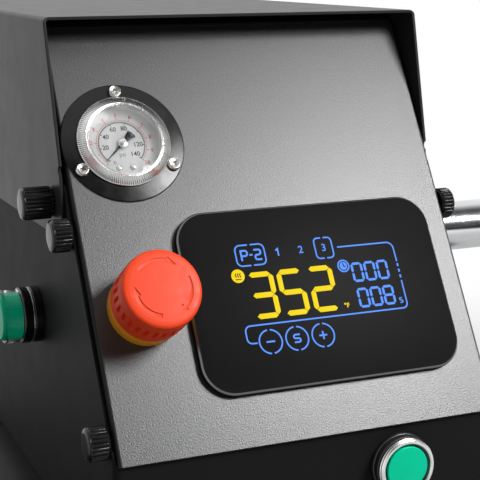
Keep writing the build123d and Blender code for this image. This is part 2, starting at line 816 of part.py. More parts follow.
def gauge_case():
    bottom = -gauge_body_depth
    cup = gauge_body_radius - gauge_body_wall
    dial_seat = -gauge_dial_depth - 1
    profile = [(0, bottom - 14), (5, bottom - 14), (5, bottom), (gauge_body_radius, bottom),
               (gauge_body_radius, 0), (gauge_flange_radius, 0), (gauge_flange_radius, gauge_flange_thickness),
               (gauge_body_radius, gauge_flange_thickness), (gauge_body_radius, gauge_rim_height),
               (cup, gauge_rim_height), (cup, dial_seat), (0, dial_seat)]
    case = on_gauge(turned(profile))
    for x, v in gauge_screw_places():
        case -= drum(panel_plane, x, v, gauge_screw_radius + assembly_clearance, -1, gauge_flange_thickness + 1)
    return case


def gauge_dial():
    radius = gauge_body_radius - gauge_body_wall - assembly_clearance
    low = -gauge_dial_depth - 1
    profile = [(0, low), (radius, low), (radius, -gauge_dial_depth),
               (gauge_spindle_radius, -gauge_dial_depth), (gauge_spindle_radius, 1.0), (0, 1.0)]
    return on_gauge(turned(profile))


def gauge_needle():
    low = -gauge_dial_depth + face_gap
    hub = turned([(gauge_spindle_radius + running_clearance, low), (2.1, low), (2.1, low + 1.5),
                  (gauge_spindle_radius + running_clearance, low + 1.5)])
    blade = make_face(Polyline((-13.6, 0), (-2, -0.7), (2, -0.9), (6.6, -2.3), (6.6, 2.3), (2, 0.9), (-2, 0.7),
                               close=True))
    blade = Pos(0, 0, low + 0.5) * extrude(blade, 0.4)
    blade -= Cylinder(1.5, 20)
    return on_gauge(Rot(0, 0, 45) * (hub + blade))


def gauge_lens():
    radius = gauge_body_radius - assembly_clearance
    return on_gauge(turned([(0, gauge_rim_height), (radius, gauge_rim_height), (radius, gauge_rim_height + 1.6),
                            (0, gauge_rim_height + 1.6)]))


def gauge_bezel():
    seat = gauge_body_radius + assembly_clearance
    lens_top = gauge_rim_height + 1.7
    top = gauge_bezel_height
    profile = [(seat, gauge_flange_thickness), (gauge_bezel_radius, gauge_flange_thickness),
               (gauge_bezel_radius, top - 1.2), (gauge_bezel_radius - 1.2, top),
               (gauge_opening_radius + 1, top), (gauge_opening_radius, top - 1), (gauge_opening_radius, lens_top),
               (seat, lens_top)]
    return on_gauge(turned(profile))


def gauge_screws():
    screws = []
    low = gauge_flange_thickness
    radius = gauge_screw_head
    head = turned([(0, low), (radius, low), (radius, low + 0.9), (radius - 1.1, low + 1.9), (0, low + 2.1)])
    for x, v in gauge_screw_places():
        screw = panel_plane * Pos(x, v, 0) * head
        screws.append(screw + drum(panel_plane, x, v, gauge_screw_radius, -4, low))
    return screws


def on_estop(shape):
    return panel_plane * Pos(estop_x, estop_v, 0) * shape


def estop_collar():
    well = estop_skirt_radius + 0.5
    floor = 4.4
    stem = 8.0 + running_clearance
    depth = -switch_barrel_depth
    profile = [(stem, depth), (switch_barrel_radius, depth), (switch_barrel_radius, -panel_sheet - 6),
               (15, -panel_sheet - 6), (15, -panel_sheet), (switch_barrel_radius, -panel_sheet),
               (switch_barrel_radius, 0), (estop_collar_radius, 0), (estop_collar_radius, estop_collar_height),
               (well, estop_collar_height), (well, floor), (stem, floor)]
    return on_estop(turned(profile))


def estop_stem():
    low = -switch_barrel_depth + estop_travel + 1.5
    skirt = estop_collar_height - 1.9
    tip = estop_head_height - 9.5
    return on_estop(turned([(0, low), (8, low), (8, skirt - face_gap), (5, skirt - face_gap), (5, tip), (0, tip)]))


def estop_head():
    skirt = estop_collar_height - 1.9
    bulge = estop_collar_height + estop_travel + 0.5
    top = estop_head_height
    bore = 5 + running_clearance
    bore_top = top - 9.5 + face_gap
    profile = [(bore, skirt), (estop_skirt_radius, skirt), (estop_skirt_radius, bulge),
               (estop_head_radius, bulge + 1.2), (estop_head_radius, top), (11.5, top), (9.5, top - 0.7),
               (0, top - 0.9), (0, bore_top), (bore, bore_top)]
    head = turned(profile, [((estop_head_radius, top), 5.2)])
    # grip notches round the skirt
    notch = Pos(estop_skirt_radius, 0, (skirt + bulge) / 2) * Box(1.8, 1.7, bulge - skirt)
    for count in range(estop_notches):
        head -= Rot(0, 0, count * 360 / estop_notches) * notch
    return on_estop(head)


def contact_blocks():
    low = -switch_barrel_depth - contact_block_depth
    high = -switch_barrel_depth
    side = contact_block_side
    left = side_plane(-1, case_outer)
    return [brick(panel_plane, estop_x, estop_v, side, side, low, high),
            brick(front_plane, start_x, start_z, side, side, low, high),
            brick(left, -side_button_y, side_button_z, side, side, low, high)]


def start_bezel():
    stem = switch_stem_radius + running_clearance
    depth = -switch_barrel_depth
    top = start_height
    profile = [(stem, depth), (switch_barrel_radius, depth), (switch_barrel_radius, 0), (start_radius, 0),
               (start_radius, top - 3.4), (start_radius - 0.5, top - 3.0), (start_radius - 0.5, top - 0.8),
               (start_radius - 1.3, top), (start_well_radius + 0.8, top), (start_well_radius, top - 0.8),
               (start_well_radius, 1.0), (stem, 1.0)]
    return front_plane * Pos(start_x, start_z, 0) * turned(profile)


def start_lens():
    low = -switch_barrel_depth + button_travel + 0.6
    cap_low = 1.0 + button_travel + 0.2
    radius = start_well_radius - assembly_clearance
    profile = [(0, low), (switch_stem_radius, low), (switch_stem_radius, cap_low), (radius, cap_low),
               (radius, start_lens_height - 0.6), (radius - 0.6, start_lens_height - 0.1), (0, start_lens_height)]
    return front_plane * Pos(start_x, start_z, 0) * turned(profile)


def on_left_wall(shape):
    return side_plane(-1, case_outer) * Pos(-side_button_y, side_button_z, 0) * shape


def side_collar():
    stem = switch_stem_radius + running_clearance
    depth = -switch_barrel_depth
    top = side_collar_height
    groove = top / 2
    radius = side_collar_radius
    profile = [(stem, depth), (switch_barrel_radius, depth), (switch_barrel_radius, 0), (radius, 0),
               (radius, groove - 0.4), (radius - 0.5, groove), (radius, groove + 0.4), (radius, top), (stem, top)]
    return on_left_wall(turned(profile))


def side_guard():
    inner = side_guard_radius - side_guard_wall
    low = side_collar_height
    top = side_guard_height
    profile = [(inner, low), (side_guard_radius, low), (side_guard_radius, top - 0.8),
               (side_guard_radius - 0.8, top), (inner, top)]
    return on_left_wall(turned(profile))


def side_lens():
    low = -switch_barrel_depth + button_travel + 0.6
    cap_low = side_collar_height + button_travel + 0.2
    radius = side_guard_radius - side_guard_wall - assembly_clearance
    top = side_lens_height
    profile = [(0, low), (switch_stem_radius, low), (switch_stem_radius, cap_low), (radius, cap_low),
               (radius, top - 1.2), (radius - 1.2, top), (0, top)]
    return on_left_wall(turned(profile))


def thumb_knob(side, seat, y, z):
    # ribbed head with a low domed cap, and a threaded shank that points into the machine
    radius = knob_radius
    points = []
    for count in range(2 * knob_ribs):
        angle = radians(count * 180 / knob_ribs)
        ring = radius if count % 2 else radius - 0.6
        points.append((ring * cos(angle), ring * sin(angle)))
    head = Pos(0, 0, 0.6) * extrude(make_face(Polyline(*points, close=True)), knob_height - 2.4)
    head += turned([(0, 0), (radius - 1.2, 0), (radius - 1.2, 0.6), (0, 0.6)])
    cap_low = knob_height - 1.8
    head += turned([(0, cap_low), (radius - 0.3, cap_low), (radius - 0.3, cap_low + 0.9),
                    (radius - 1.6, knob_height - 0.2), (0, knob_height)])
    head += Pos(0, 0, -knob_shank_length / 2) * Cylinder(knob_shank_radius, knob_shank_length)
    return side_plane(side, seat) * Pos(side * y, z, 0) * head


def handle_socket():
    wall = side_plane(1, case_outer)
    socket = drum(wall, bar_y, bar_z, socket_radius, 0, socket_flange)
    socket += drum(wall, bar_y, bar_z, bar_radius + socket_wall, socket_flange, socket_length)
    return socket - drum(wall, bar_y, bar_z, bar_radius + assembly_clearance, 1, socket_length + 1)


def bar_path():
    # out of the head, round one bend and forward towards the operator
    start = case_outer + 1
    end_x = bar_straight_end + bar_bend
    front = bar_y - bar_bend - grip_length
    return FilletPolyline((start, bar_y, bar_z), (end_x, bar_y, bar_z), (end_x, front, bar_z), radius=bar_bend)


def handle_bar():
    path = bar_path()
    ring = Circle(bar_radius) - Circle(bar_radius - bar_wall)
    start = Plane(origin=path @ 0, z_dir=path % 0)
    return sweep(start * ring, path=path)


def handle_grip():
    x = bar_straight_end + bar_bend
    rear = bar_y - bar_bend - 4
    front = bar_y - bar_bend - grip_length - 3
    length = rear - front
    plane = Plane(origin=(x, rear, bar_z), x_dir=(1, 0, 0), z_dir=(0, -1, 0))
    profile = [(bar_radius + assembly_clearance, 0), (grip_radius + 1, 0), (grip_radius + 1, 3),
               (grip_radius, 5), (grip_radius, length), (0, length), (0, length - 2.8),
               (bar_radius + assembly_clearance, length - 2.8)]
    return plane * turned(profile, [((grip_radius, length), 3)])


def rear_panel():
    low = arm_bottom
    top = hood_top - hood_sheet - face_gap
    half = case_inner - face_gap
    front = head_rear_y - rear_sheet
    panel = block(-half, half, front, head_rear_y, low, top)
    for side in (-1, 1):
        edge = side * half
        inner = edge - side * rear_sheet
        panel += block(min(edge, inner), max(edge, inner), front - rear_flange, front, low, top)
    panel += block(-half, half, front - rear_flange, front, top - rear_sheet, top)
    # cooling slots in two columns
    for column in (-1, 1):
        for count in range(vent_slots):
            z = top - 30 - count * 2.5 * vent_slot_width
            x = column * (vent_slot_length / 2 + 8)
            panel -= brick(rear_plane, x, z, vent_slot_length, vent_slot_width, -5, 1)
    mains_z = head_floor + mains_rise
    panel -= brick(rear_plane, -mains_x, mains_z, mains_width - 8, mains_height - 8, -5, 1)
    return panel


def mains_levels():
    middle = head_floor + mains_rise
    return middle, middle - mains_height / 4, middle + mains_height / 4


def power_inlet():
    # one module with the mains socket below and the rocker switch above
    middle, socket_z, rocker_z = mains_levels()
    x = -mains_x
    module = brick(rear_plane, x, middle, mains_width, mains_height, 0, mains_plate)
    module += brick(rear_plane, x, middle, mains_width - 9, mains_height - 9, -socket_depth - 3, 0)
    module -= brick(rear_plane, x, socket_z, socket_hole_width, socket_hole_height,
                    mains_plate - socket_depth, mains_plate + 1)
    for step in (-1, 0, 1):
        pin_z = socket_z + 3.5 + (1.2 if step == 0 else 0)
        module += brick(rear_plane, x + step * 7, pin_z, 2, 4, mains_plate - socket_depth, mains_plate - 3)
    half_well = rocker_length / 2 + 1.2
    module -= brick(rear_plane, x, rocker_z, rocker_width + 1, 2 * half_well, -10, mains_plate + 1)
    pivot = Plane(origin=(mains_x, head_rear_y, rocker_z), x_dir=(0, 1, 0), z_dir=(1, 0, 0))
    return module - drum(pivot, 0, 0, 1.5 + running_clearance, -rocker_width / 2 - 4, rocker_width / 2 + 4)


def power_switch():
    # rocker seen from the side: two faces that meet in a shallow valley over the pivot
    _, _, rocker_z = mains_levels()
    half = rocker_length / 2
    outline = [(-3.0, -half), (3.0, -half), (0.9, 0), (3.0, half), (-3.0, half), (-4.6, 0)]
    side_view = Plane(origin=(mains_x, head_rear_y, rocker_z), x_dir=(0, 1, 0), z_dir=(1, 0, 0))
    face = make_face(Polyline(*outline, close=True))
    rocker = side_view * Rot(0, 0, rocker_tilt) * Pos(0, 0, -rocker_width / 2) * extrude(face, rocker_width)
    return rocker + drum(side_view, 0, 0, 1.5, -rocker_width / 2 - 3, rocker_width / 2 + 3)


def regulator_places():
    y = head_rear_y + bracket_thickness + regulator_size / 2
    low = head_floor + regulator_rise
    return y, low


def regulator_body():
    y, low = regulator_places()
    half = regulator_size / 2
    top = low + regulator_height
    body = block(regulator_x - half, regulator_x + half, y - half, y + half, low, top)
    body = fillet(body.edges().filter_by(Axis.Z), 7)
    body += upright(12, top, top + 8, regulator_x, y)
    body += upright(regulator_spindle_radius, top + 8, top + 8 + regulator_spindle_length, regulator_x, y)
    body += block(regulator_x - 14, regulator_x + 14, head_rear_y, y - half, low + 4, top - 4)
    port = Plane(origin=(regulator_x - half, y, low + regulator_height / 2), x_dir=(0, 0, 1), z_dir=(-1, 0, 0))
    body += drum(port, 0, 0, 8, -1, inlet_length)
    body -= drum(port, 0, 0, inlet_bore_radius, inlet_length - 12, inlet_length + 1)
    return body


def regulator_bowl():
    y, low = regulator_places()
    bottom = low - bowl_length
    profile = [(0, bottom), (5, bottom), (5, bottom + 6), (bowl_radius - 4, bottom + 6),
               (bowl_radius - 1, bottom + 12), (bowl_radius, low - 8), (bowl_radius + 2.5, low - 8),
               (bowl_radius + 2.5, low), (0, low)]
    return Pos(regulator_x, y, 0) * turned(profile, [((bowl_radius - 4, bottom + 6), 2)])


def regulator_knob():
    y, low = regulator_places()
    seat = low + regulator_height + 8 + face_gap
    top = seat + regulator_knob_height
    radius = regulator_knob_radius
    knob = turned([(0, seat), (radius - 1, seat), (radius, seat + 3), (radius - 1.5, top - 2), (radius - 3.5, top),
                   (0, top)])
    bore = regulator_spindle_radius + running_clearance
    knob -= upright(bore, seat - 1, seat + regulator_spindle_length)
    for count in range(12):
        groove = Pos(radius + 0.6, 0, seat + regulator_knob_height / 2) * Cylinder(1.8, regulator_knob_height + 2)
        knob -= Rot(0, 0, count * 30) * groove
    return Pos(regulator_x, y, 0) * knob


def solenoid_valve():
    # valve block with its coil, screwed on the arm behind the cylinder
    low = arm_top + arm_rib_height
    top = low + valve_height
    y = (platen_y + cylinder_side / 2 + column_y - bearing_housing_radius) / 2 + valve_setback
    left = -valve_half_length
    valve = block(left, -left, y - valve_depth / 2, y + valve_depth / 2, low, top)
    valve += block(left, left + coil_length, y - coil_depth / 2, y + coil_depth / 2, top, top + coil_height)
    for x in valve_port_x:
        valve += upright(valve_port_radius, top, top + valve_port_height, x, y)
    return valve


def write(name, shape):
    pieces = list(shape) if isinstance(shape, (list, tuple)) else [shape]
    solids = [solid for piece in pieces for solid in piece.solids()]
    export_step(solids[0] if len(solids) == 1 else Compound(children=solids), "parts/" + name + ".step")


os.makedirs("parts", exist_ok=True)

nodes = {
    "base_plate_front": base_plate(base_front_y, base_front_y + front_plate_depth),
    "base_plate_rear": rear_base_plate(),
    "base_rail_left": rail(-1),
    "base_rail_right": rail(1),
    "rubber_feet": rubber_feet(),
    "swing_column": swing_column(),
    "column_bolts": column_bolts(),
    "column_nut": column_nut(),
    "stop_collar": stop_collar(),
    "pedestal": pedestal(),
    "lower_platen": lower_platen(),
    "silicone_pad": silicone_pad(),
    "heat_platen": heat_platen(),
    "insulation_blanket": insulation_blanket(),
    "platen_cover": platen_cover(),
    "hub_plate": hub_plate(),
    "piston_rod": piston_rod(),
    "guide_rods": guide_rods(),
    "swing_arm": swing_arm(),
    "swing_bushes": swing_bushes(),
    "cylinder_barrel": cylinder_barrel(),
    "cylinder_cap": cylinder_cap(),
    "tie_rods": tie_rods(),
    "guide_bushes": guide_bushes(),
    "head_case": head_case(),
    "hood": hood(),
    "control_panel": control_panel(),
    "display_glass": display_glass(),
    "display_board": display_board(),
    "gauge_case": gauge_case(),
    "gauge_dial": gauge_dial(),
    "gauge_needle": gauge_needle(),
    "gauge_lens": gauge_lens(),
    "gauge_bezel": gauge_bezel(),
    "gauge_screws": gauge_screws(),
    "estop_collar": estop_collar(),
    "estop_stem": estop_stem(),
    "estop_head": estop_head(),
    "contact_blocks": contact_blocks(),
    "start_bezel": start_bezel(),
    "start_lens": start_lens(),
    "side_collar": side_collar(),
    "side_guard": side_guard(),
    "side_lens": side_lens(),
    "handle_socket": handle_socket(),
    "handle_bar": handle_bar(),
    "handle_grip": handle_grip(),
    "rear_panel": rear_panel(),
    "power_inlet": power_inlet(),
    "power_switch": power_switch(),
    "regulator_body": regulator_body(),
    "regulator_bowl": regulator_bowl(),
    "regulator_knob": regulator_knob(),
    "solenoid_valve": solenoid_valve(),
}

lower_knob, upper_knob = panel_knob_places()
for side, word in ((-1, "left"), (1, "right")):
    nodes["hood_knob_" + word] = thumb_knob(side, hood_outer, hood_knob_y, hood_knob_z)
    nodes["panel_knob_upper_" + word] = thumb_knob(side, case_outer, *upper_knob)
    nodes["panel_knob_lower_" + word] = thumb_knob(side, case_outer, *lower_knob)

for name, shape in nodes.items():
    write(name, shape)
print(len(nodes), "nodes")
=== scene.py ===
import json
from math import cos, pi, radians, sin, tan

import bmesh
import bpy
from mathutils import Matrix, Vector

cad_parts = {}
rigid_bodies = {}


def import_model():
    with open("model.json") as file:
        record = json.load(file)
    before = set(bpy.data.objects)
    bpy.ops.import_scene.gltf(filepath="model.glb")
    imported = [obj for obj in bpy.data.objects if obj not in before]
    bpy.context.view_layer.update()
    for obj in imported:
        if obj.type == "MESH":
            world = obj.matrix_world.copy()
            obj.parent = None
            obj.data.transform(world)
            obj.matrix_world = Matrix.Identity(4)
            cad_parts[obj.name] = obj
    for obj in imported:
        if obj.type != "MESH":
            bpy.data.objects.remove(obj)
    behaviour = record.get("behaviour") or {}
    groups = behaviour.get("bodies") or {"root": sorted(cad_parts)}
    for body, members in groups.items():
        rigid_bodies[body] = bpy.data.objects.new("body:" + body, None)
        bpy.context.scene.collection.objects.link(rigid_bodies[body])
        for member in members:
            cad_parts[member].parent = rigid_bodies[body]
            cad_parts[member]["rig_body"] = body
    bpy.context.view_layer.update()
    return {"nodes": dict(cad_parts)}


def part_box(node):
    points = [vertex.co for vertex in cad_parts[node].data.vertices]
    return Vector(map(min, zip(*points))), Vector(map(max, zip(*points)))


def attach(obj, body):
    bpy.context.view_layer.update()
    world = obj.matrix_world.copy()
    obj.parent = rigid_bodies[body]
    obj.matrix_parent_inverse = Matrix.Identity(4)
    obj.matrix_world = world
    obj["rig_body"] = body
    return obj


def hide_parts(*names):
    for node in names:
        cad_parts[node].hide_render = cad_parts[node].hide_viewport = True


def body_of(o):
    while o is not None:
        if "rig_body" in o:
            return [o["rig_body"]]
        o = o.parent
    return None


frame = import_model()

# Looks of a pneumatic heat press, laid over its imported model.
# Lengths are in millimetres unless a note says metres; +Z is up and the operator stands at -Y.

mm = 0.001
scene = bpy.context.scene
nodes = frame["nodes"]


# camera and light

shot = {
    "eye": (-252.4, -783.2, 678.8),
    "turnRight": 22.59,  # degrees from straight ahead
    "tiltDown": 12.29,
    "roll": -0.20,
    "focalLength": 96.24, "sensor": 36,
    "clip": (0.05, 60),  # metres
}


def makeCamera(shot):
    lens = bpy.data.cameras.new("camera")
    lens.lens, lens.sensor_width = shot["focalLength"], shot["sensor"]
    lens.clip_start, lens.clip_end = shot["clip"]
    camera = bpy.data.objects.new("camera", lens)
    scene.collection.objects.link(camera)
    aim = Matrix.Rotation(radians(-shot["turnRight"]), 4, "Z")
    aim = aim @ Matrix.Rotation(radians(90 - shot["tiltDown"]), 4, "X")
    aim = aim @ Matrix.Rotation(radians(shot["roll"]), 4, "Z")
    camera.matrix_world = Matrix.Translation(Vector(shot["eye"]) * mm) @ aim
    scene.camera = camera


makeCamera(shot)
scene.view_settings.view_transform = "Standard"
print("camera set")


# studio: one compact softbox at the right, two weak fills, white surroundings

studio = {
    "ambient": 0.24,  # light that the surroundings give to matt surfaces
    "floorTone": 0.55, "floorRadius": 9,  # metres
    "floorWhite": 0.35,  # share of plain white in the floor near the machine
    "shadowReach": (0.8, 2.0),  # metres from the middle where the floor fades to plain white
    "darkSide": (25, 35),  # azimuth and elevation of the dark part of the room that glossy surfaces see
    "darkLevel": 0.05, "darkEdge": (0.82, 0.25),
}

softboxes = {
    # side of the box in metres, watts, place (azimuth right of the operator, elevation, metres away)
    "key": {"side": 0.36, "watts": 13.0, "azimuth": 37.5, "elevation": 38, "distance": 1.15},
    "overhead": {"side": 1.4, "watts": 6.0, "azimuth": 25, "elevation": 76, "distance": 1.9},
    "rearFill": {"side": 1.2, "watts": 6.0, "azimuth": 205, "elevation": 38, "distance": 2.0},
}
softboxAim = (0, -0.2, 0.5)  # metres
white = (1, 1, 1, 1)


def awayTo(azimuth, elevation):  # direction of a place in the studio, seen from the machine
    turn, rise = radians(azimuth), radians(elevation)
    return Vector((sin(turn) * cos(rise), -cos(turn) * cos(rise), sin(rise)))


def addSoftbox(name, box):
    lamp = bpy.data.lights.new(name, "AREA")
    lamp.shape = "RECTANGLE"
    lamp.size = lamp.size_y = box["side"]
    lamp.energy = box["watts"]
    away = awayTo(box["azimuth"], box["elevation"])
    obj = bpy.data.objects.new(name, lamp)
    obj.location = Vector(softboxAim) + away * box["distance"]
    obj.rotation_euler = away.to_track_quat("Z", "Y").to_euler()
    scene.collection.objects.link(obj)


def shaderNodes(owner):
    # gives a function that adds shader nodes: a socket among the values is linked, any other value is set
    owner.use_nodes = True
    tree = owner.node_tree
    tree.nodes.clear()

    def add(kind, values={}, **settings):
        node = tree.nodes.new("ShaderNode" + kind)
        for name, value in settings.items():
            setattr(node, name, value)
        for socket, value in values.items():
            if isinstance(value, bpy.types.NodeSocket):
                tree.links.new(value, node.inputs[socket])
            else:
                node.inputs[socket].default_value = value
        return node

    return add


def makeWorld(studio):
    scene.world = bpy.data.worlds.new("surroundings")
    add = shaderNodes(scene.world)
    path, place = add("LightPath").outputs, add("TexCoord").outputs["Generated"]
    facing = add("VectorMath", {0: place, 1: awayTo(*studio["darkSide"])}, operation="DOT_PRODUCT")
    full, start = studio["darkEdge"]
    room = add("MapRange", {"Value": facing.outputs["Value"], "From Min": start, "From Max": full, "To Min": 1.0,
                            "To Max": studio["darkLevel"]}, interpolation_type="SMOOTHSTEP")
    shiny = add("Math", {0: path["Is Glossy Ray"], 1: path["Is Transmission Ray"]}, operation="MAXIMUM")
    matt = add("Background", {"Color": white, "Strength": studio["ambient"]})
    gloss = add("Background", {"Color": white, "Strength": room.outputs["Result"]})
    seen = add("Background", {"Color": white})
    light = add("MixShader", {0: shiny.outputs[0], 1: matt.outputs[0], 2: gloss.outputs[0]})
    both = add("MixShader", {0: path["Is Camera Ray"], 1: light.outputs[0], 2: seen.outputs[0]})
    add("OutputWorld", {"Surface": both.outputs[0]})


def makeFloor(studio):
    # a wide pale disc that keeps the shadow near the machine and turns plain white further out
    disc = bmesh.new()
    bmesh.ops.create_circle(disc, cap_ends=True, segments=96, radius=studio["floorRadius"])
    mesh = bpy.data.meshes.new("floor")
    disc.to_mesh(mesh)
    disc.free()
    floor = bpy.data.objects.new("floor", mesh)
    scene.collection.objects.link(floor)
    material = bpy.data.materials.new("floor paper")
    mesh.materials.append(material)
    add = shaderNodes(material)
    far = add("VectorMath", {0: add("TexCoord").outputs["Object"]}, operation="LENGTH")
    near, wide = studio["shadowReach"]
    fade = add("MapRange", {"Value": far.outputs["Value"], "From Min": near, "From Max": wide,
                            "To Min": studio["floorWhite"]}, interpolation_type="SMOOTHSTEP")
    path = add("LightPath").outputs
    mirrored = add("Math", {0: path["Is Glossy Ray"], 1: path["Is Transmission Ray"]}, operation="MAXIMUM")
    shown = add("Math", {0: path["Is Camera Ray"], 1: mirrored.outputs[0]}, operation="MAXIMUM")
    both = add("Math", {0: fade.outputs["Result"], 1: shown.outputs[0]}, operation="MULTIPLY")
    paper = add("BsdfDiffuse", {"Color": (studio["floorTone"],) * 3 + (1,)})
    plain = add("Emission", {"Color": white})
    mix = add("MixShader", {0: both.outputs[0], 1: paper.outputs[0], 2: plain.outputs[0]})
    add("OutputMaterial", {"Surface": mix.outputs[0]})


makeWorld(studio)
makeFloor(studio)
for name, box in softboxes.items():
    addSoftbox(name, box)
print("studio set")


# finishes


def makeFinish(name, color, rough, grain=(0.5, 0.01), mottle=(25, 0.08), roughSpread=0.06, metal=0.0,
               shine=0.5, stretch=(1, 1, 1), sockets={}):
    # grain: (size, depth) of the surface texture; mottle: (size, share) by which the tone wanders
    material = bpy.data.materials.new(name)
    add = shaderNodes(material)
    place = add("Mapping", {"Scale": stretch, "Vector": add("TexCoord").outputs["Object"]}).outputs[0]

    def noise(size, detail=3.0):
        return add("TexNoise", {"Scale": 1 / (size * mm), "Detail": detail, "Vector": place}).outputs["Fac"]

    size, share = mottle
    dark, light = ([min(1, c * level) for c in color] for level in (1 - share, 1 + share))
    tone = add("Mix", {"A": (*dark, 1), "B": (*light, 1), "Factor": noise(size)}, data_type="RGBA")
    # the sheen wanders over shorter lengths than the tone
    rub = add("MapRange", {"Value": noise(size * 0.4), "From Min": 0.3, "From Max": 0.7,
                           "To Min": max(0, rough - roughSpread), "To Max": min(1, rough + roughSpread)})
    bump = add("Bump", {"Distance": grain[1] * mm, "Height": noise(grain[0], 2.0)})
    shader = add("BsdfPrincipled", {
        "Base Color": tone.outputs["Result"], "Roughness": rub.outputs["Result"], "Normal": bump.outputs["Normal"],
        "Metallic": metal, "Specular IOR Level": shine, **sockets})
    add("OutputMaterial", {"Surface": shader.outputs[0]})
    return material


def lit(name, color, glow):  # a figure of the display that gives its own light
    return makeFinish(name, color, 0.4, shine=0.03,
                      sockets={"Emission Color": (*glow, 1), "Emission Strength": 1.0})


finishes = {
    "powder": makeFinish("black powder coat", (0.026, 0.026, 0.027), 0.33, (1.2, 0.05),
                         (40, 0.05), 0.02, shine=0.055),
    # the hood's powder coat made matt and darker: the matt finish is the coat's own, the darker colour is painted shade
    # of the case's sides
    "case": makeFinish("matt powder coat with painted shade", (0.011, 0.011, 0.0115), 0.55, (1.2, 0.03),
                       (40, 0.05), 0.02, shine=0.05),
    "panel": makeFinish("panel powder coat", (0.021, 0.021, 0.0215), 0.38, (0.75, 0.095),
                        (1.1, 1.0), 0.015, shine=0.86),
    "frame": makeFinish("frame powder coat", (0.035, 0.036, 0.038), 0.5, (0.9, 0.06), (60, 0.12)),
    "steel": makeFinish("machined steel", (0.52, 0.52, 0.53), 0.3, (0.4, 0.006), metal=1.0,
                        stretch=(1, 1, 8)),
    "zinc": makeFinish("zinc plated steel", (0.6, 0.61, 0.62), 0.28, (0.6, 0.01), metal=1.0),
    "bronze": makeFinish("bearing bronze", (0.55, 0.36, 0.16), 0.35, metal=1.0),
    "anodised": makeFinish("anodised aluminium", (0.62, 0.63, 0.64), 0.38, (0.5, 0.008),
                           metal=1.0),
    "coating": makeFinish("non-stick coating", (0.045, 0.04, 0.036), 0.42, (0.7, 0.02)),
    "silicone": makeFinish("silicone rubber", (0.55, 0.12, 0.05), 0.6, (0.8, 0.03)),
    "rubber": makeFinish("foot rubber", (0.02, 0.02, 0.02), 0.75, (0.6, 0.04)),
    "wool": makeFinish("ceramic wool", (0.75, 0.73, 0.68), 0.95, (1.5, 0.3)),
    "chrome": makeFinish("chrome", (0.72, 0.73, 0.75), 0.16, (0.8, 0.001), roughSpread=0.02, metal=1.0),
    "plastic": makeFinish("black plastic", (0.018, 0.018, 0.019), 0.4, (0.4, 0.01)),
    "gloss": makeFinish("gloss black", (0.006, 0.006, 0.007), 0.12, (0.8, 0.002)),
    "glass": makeFinish("display glass", (0.01, 0.01, 0.0104), 0.42, (2, 0.0003), roughSpread=0.01,
                        shine=0.03),
    "board": makeFinish("circuit board", (0.02, 0.12, 0.05), 0.4, (0.6, 0.02)),
    "dial": makeFinish("dial enamel", (0.95, 0.96, 0.97), 0.35, (0.5, 0.002)),
    "needle": makeFinish("needle black", (0.012, 0.014, 0.018), 0.4),
    "bezel": makeFinish("bezel steel", (0.8, 0.8, 0.79), 0.25, (0.5, 0.004), metal=1.0),
    "screw": makeFinish("screw steel", (0.46, 0.45, 0.43), 0.25, (0.4, 0.01), metal=1.0),
    "flange": makeFinish("turned black flange", (0.006, 0.006, 0.0065), 0.22, (0.5, 0.006), shine=0.32),
    "red": makeFinish("stop red", (0.87, 0.062, 0.014), 0.42, (0.5, 0.004), (10, 0.03), shine=0.2),
    "yellow": makeFinish("stop yellow", (1.0, 0.38, 0.008), 0.4, (0.5, 0.004), (10, 0.03)),
    "green": makeFinish("button green", (0.0, 0.6, 0.33), 0.35, (0.5, 0.003), (8, 0.05), shine=0.12),
    "grip": makeFinish("grip rubber", (0.03, 0.03, 0.03), 0.7, (0.5, 0.03)),
    "knob": makeFinish("knob plastic", (0.009, 0.009, 0.0095), 0.2, (0.4, 0.003), shine=0.25),
    "glassEdge": makeFinish("ground glass edge", (0.02, 0.021, 0.022), 0.2, (1, 0.0005), shine=1.0,
                            sockets={"IOR": 1.75}),
    "scaleRed": makeFinish("scale red", (0.75, 0.06, 0.05), 0.4, (0.5, 0.002)),
    "scaleBlack": makeFinish("scale black", (0.02, 0.025, 0.03), 0.4, (0.5, 0.002)),
    "scaleGreen": makeFinish("scale green", (0.28, 0.42, 0.38), 0.4, (0.5, 0.002)),
    "markWhite": makeFinish("printed white", (0.8, 0.8, 0.8), 0.45, (0.5, 0.002)),
    "litBlue": lit("lit blue figures", (0.02, 0.05, 0.2), (0.10, 0.28, 0.88)),
    "litYellow": lit("lit yellow figures", (0.2, 0.15, 0.0), (0.72, 0.54, 0.008)),
    "clear": makeFinish("clear glass", (1, 1, 1), 0.02, (2, 0.0002), (20, 0.0),
                        sockets={"Transmission Weight": 1.0, "IOR": 1.45}),
    "clearPlastic": makeFinish("clear plastic", (0.95, 0.97, 0.96), 0.05, (2, 0.001), (20, 0.0),
                               sockets={"Transmission Weight": 1.0, "IOR": 1.2}),
}
print("finishes made:", len(finishes))


# tools for making pieces

def plane(origin, across, outward):  # local x goes across, local z points outward
    z = Vector(outward).normalized()
    x = Vector(across).normalized()
    turn = Matrix((x, z.cross(x), z)).transposed().to_4x4()
    return Matrix.Translation(Vector(origin) * mm) @ turn


def at(x, y, z=0.0, turn=0.0):  # a place on a plane, turned about its outward axis by degrees
    return Matrix.Translation(Vector((x, y, z)) * mm) @ Matrix.Rotation(radians(turn), 4, "Z")


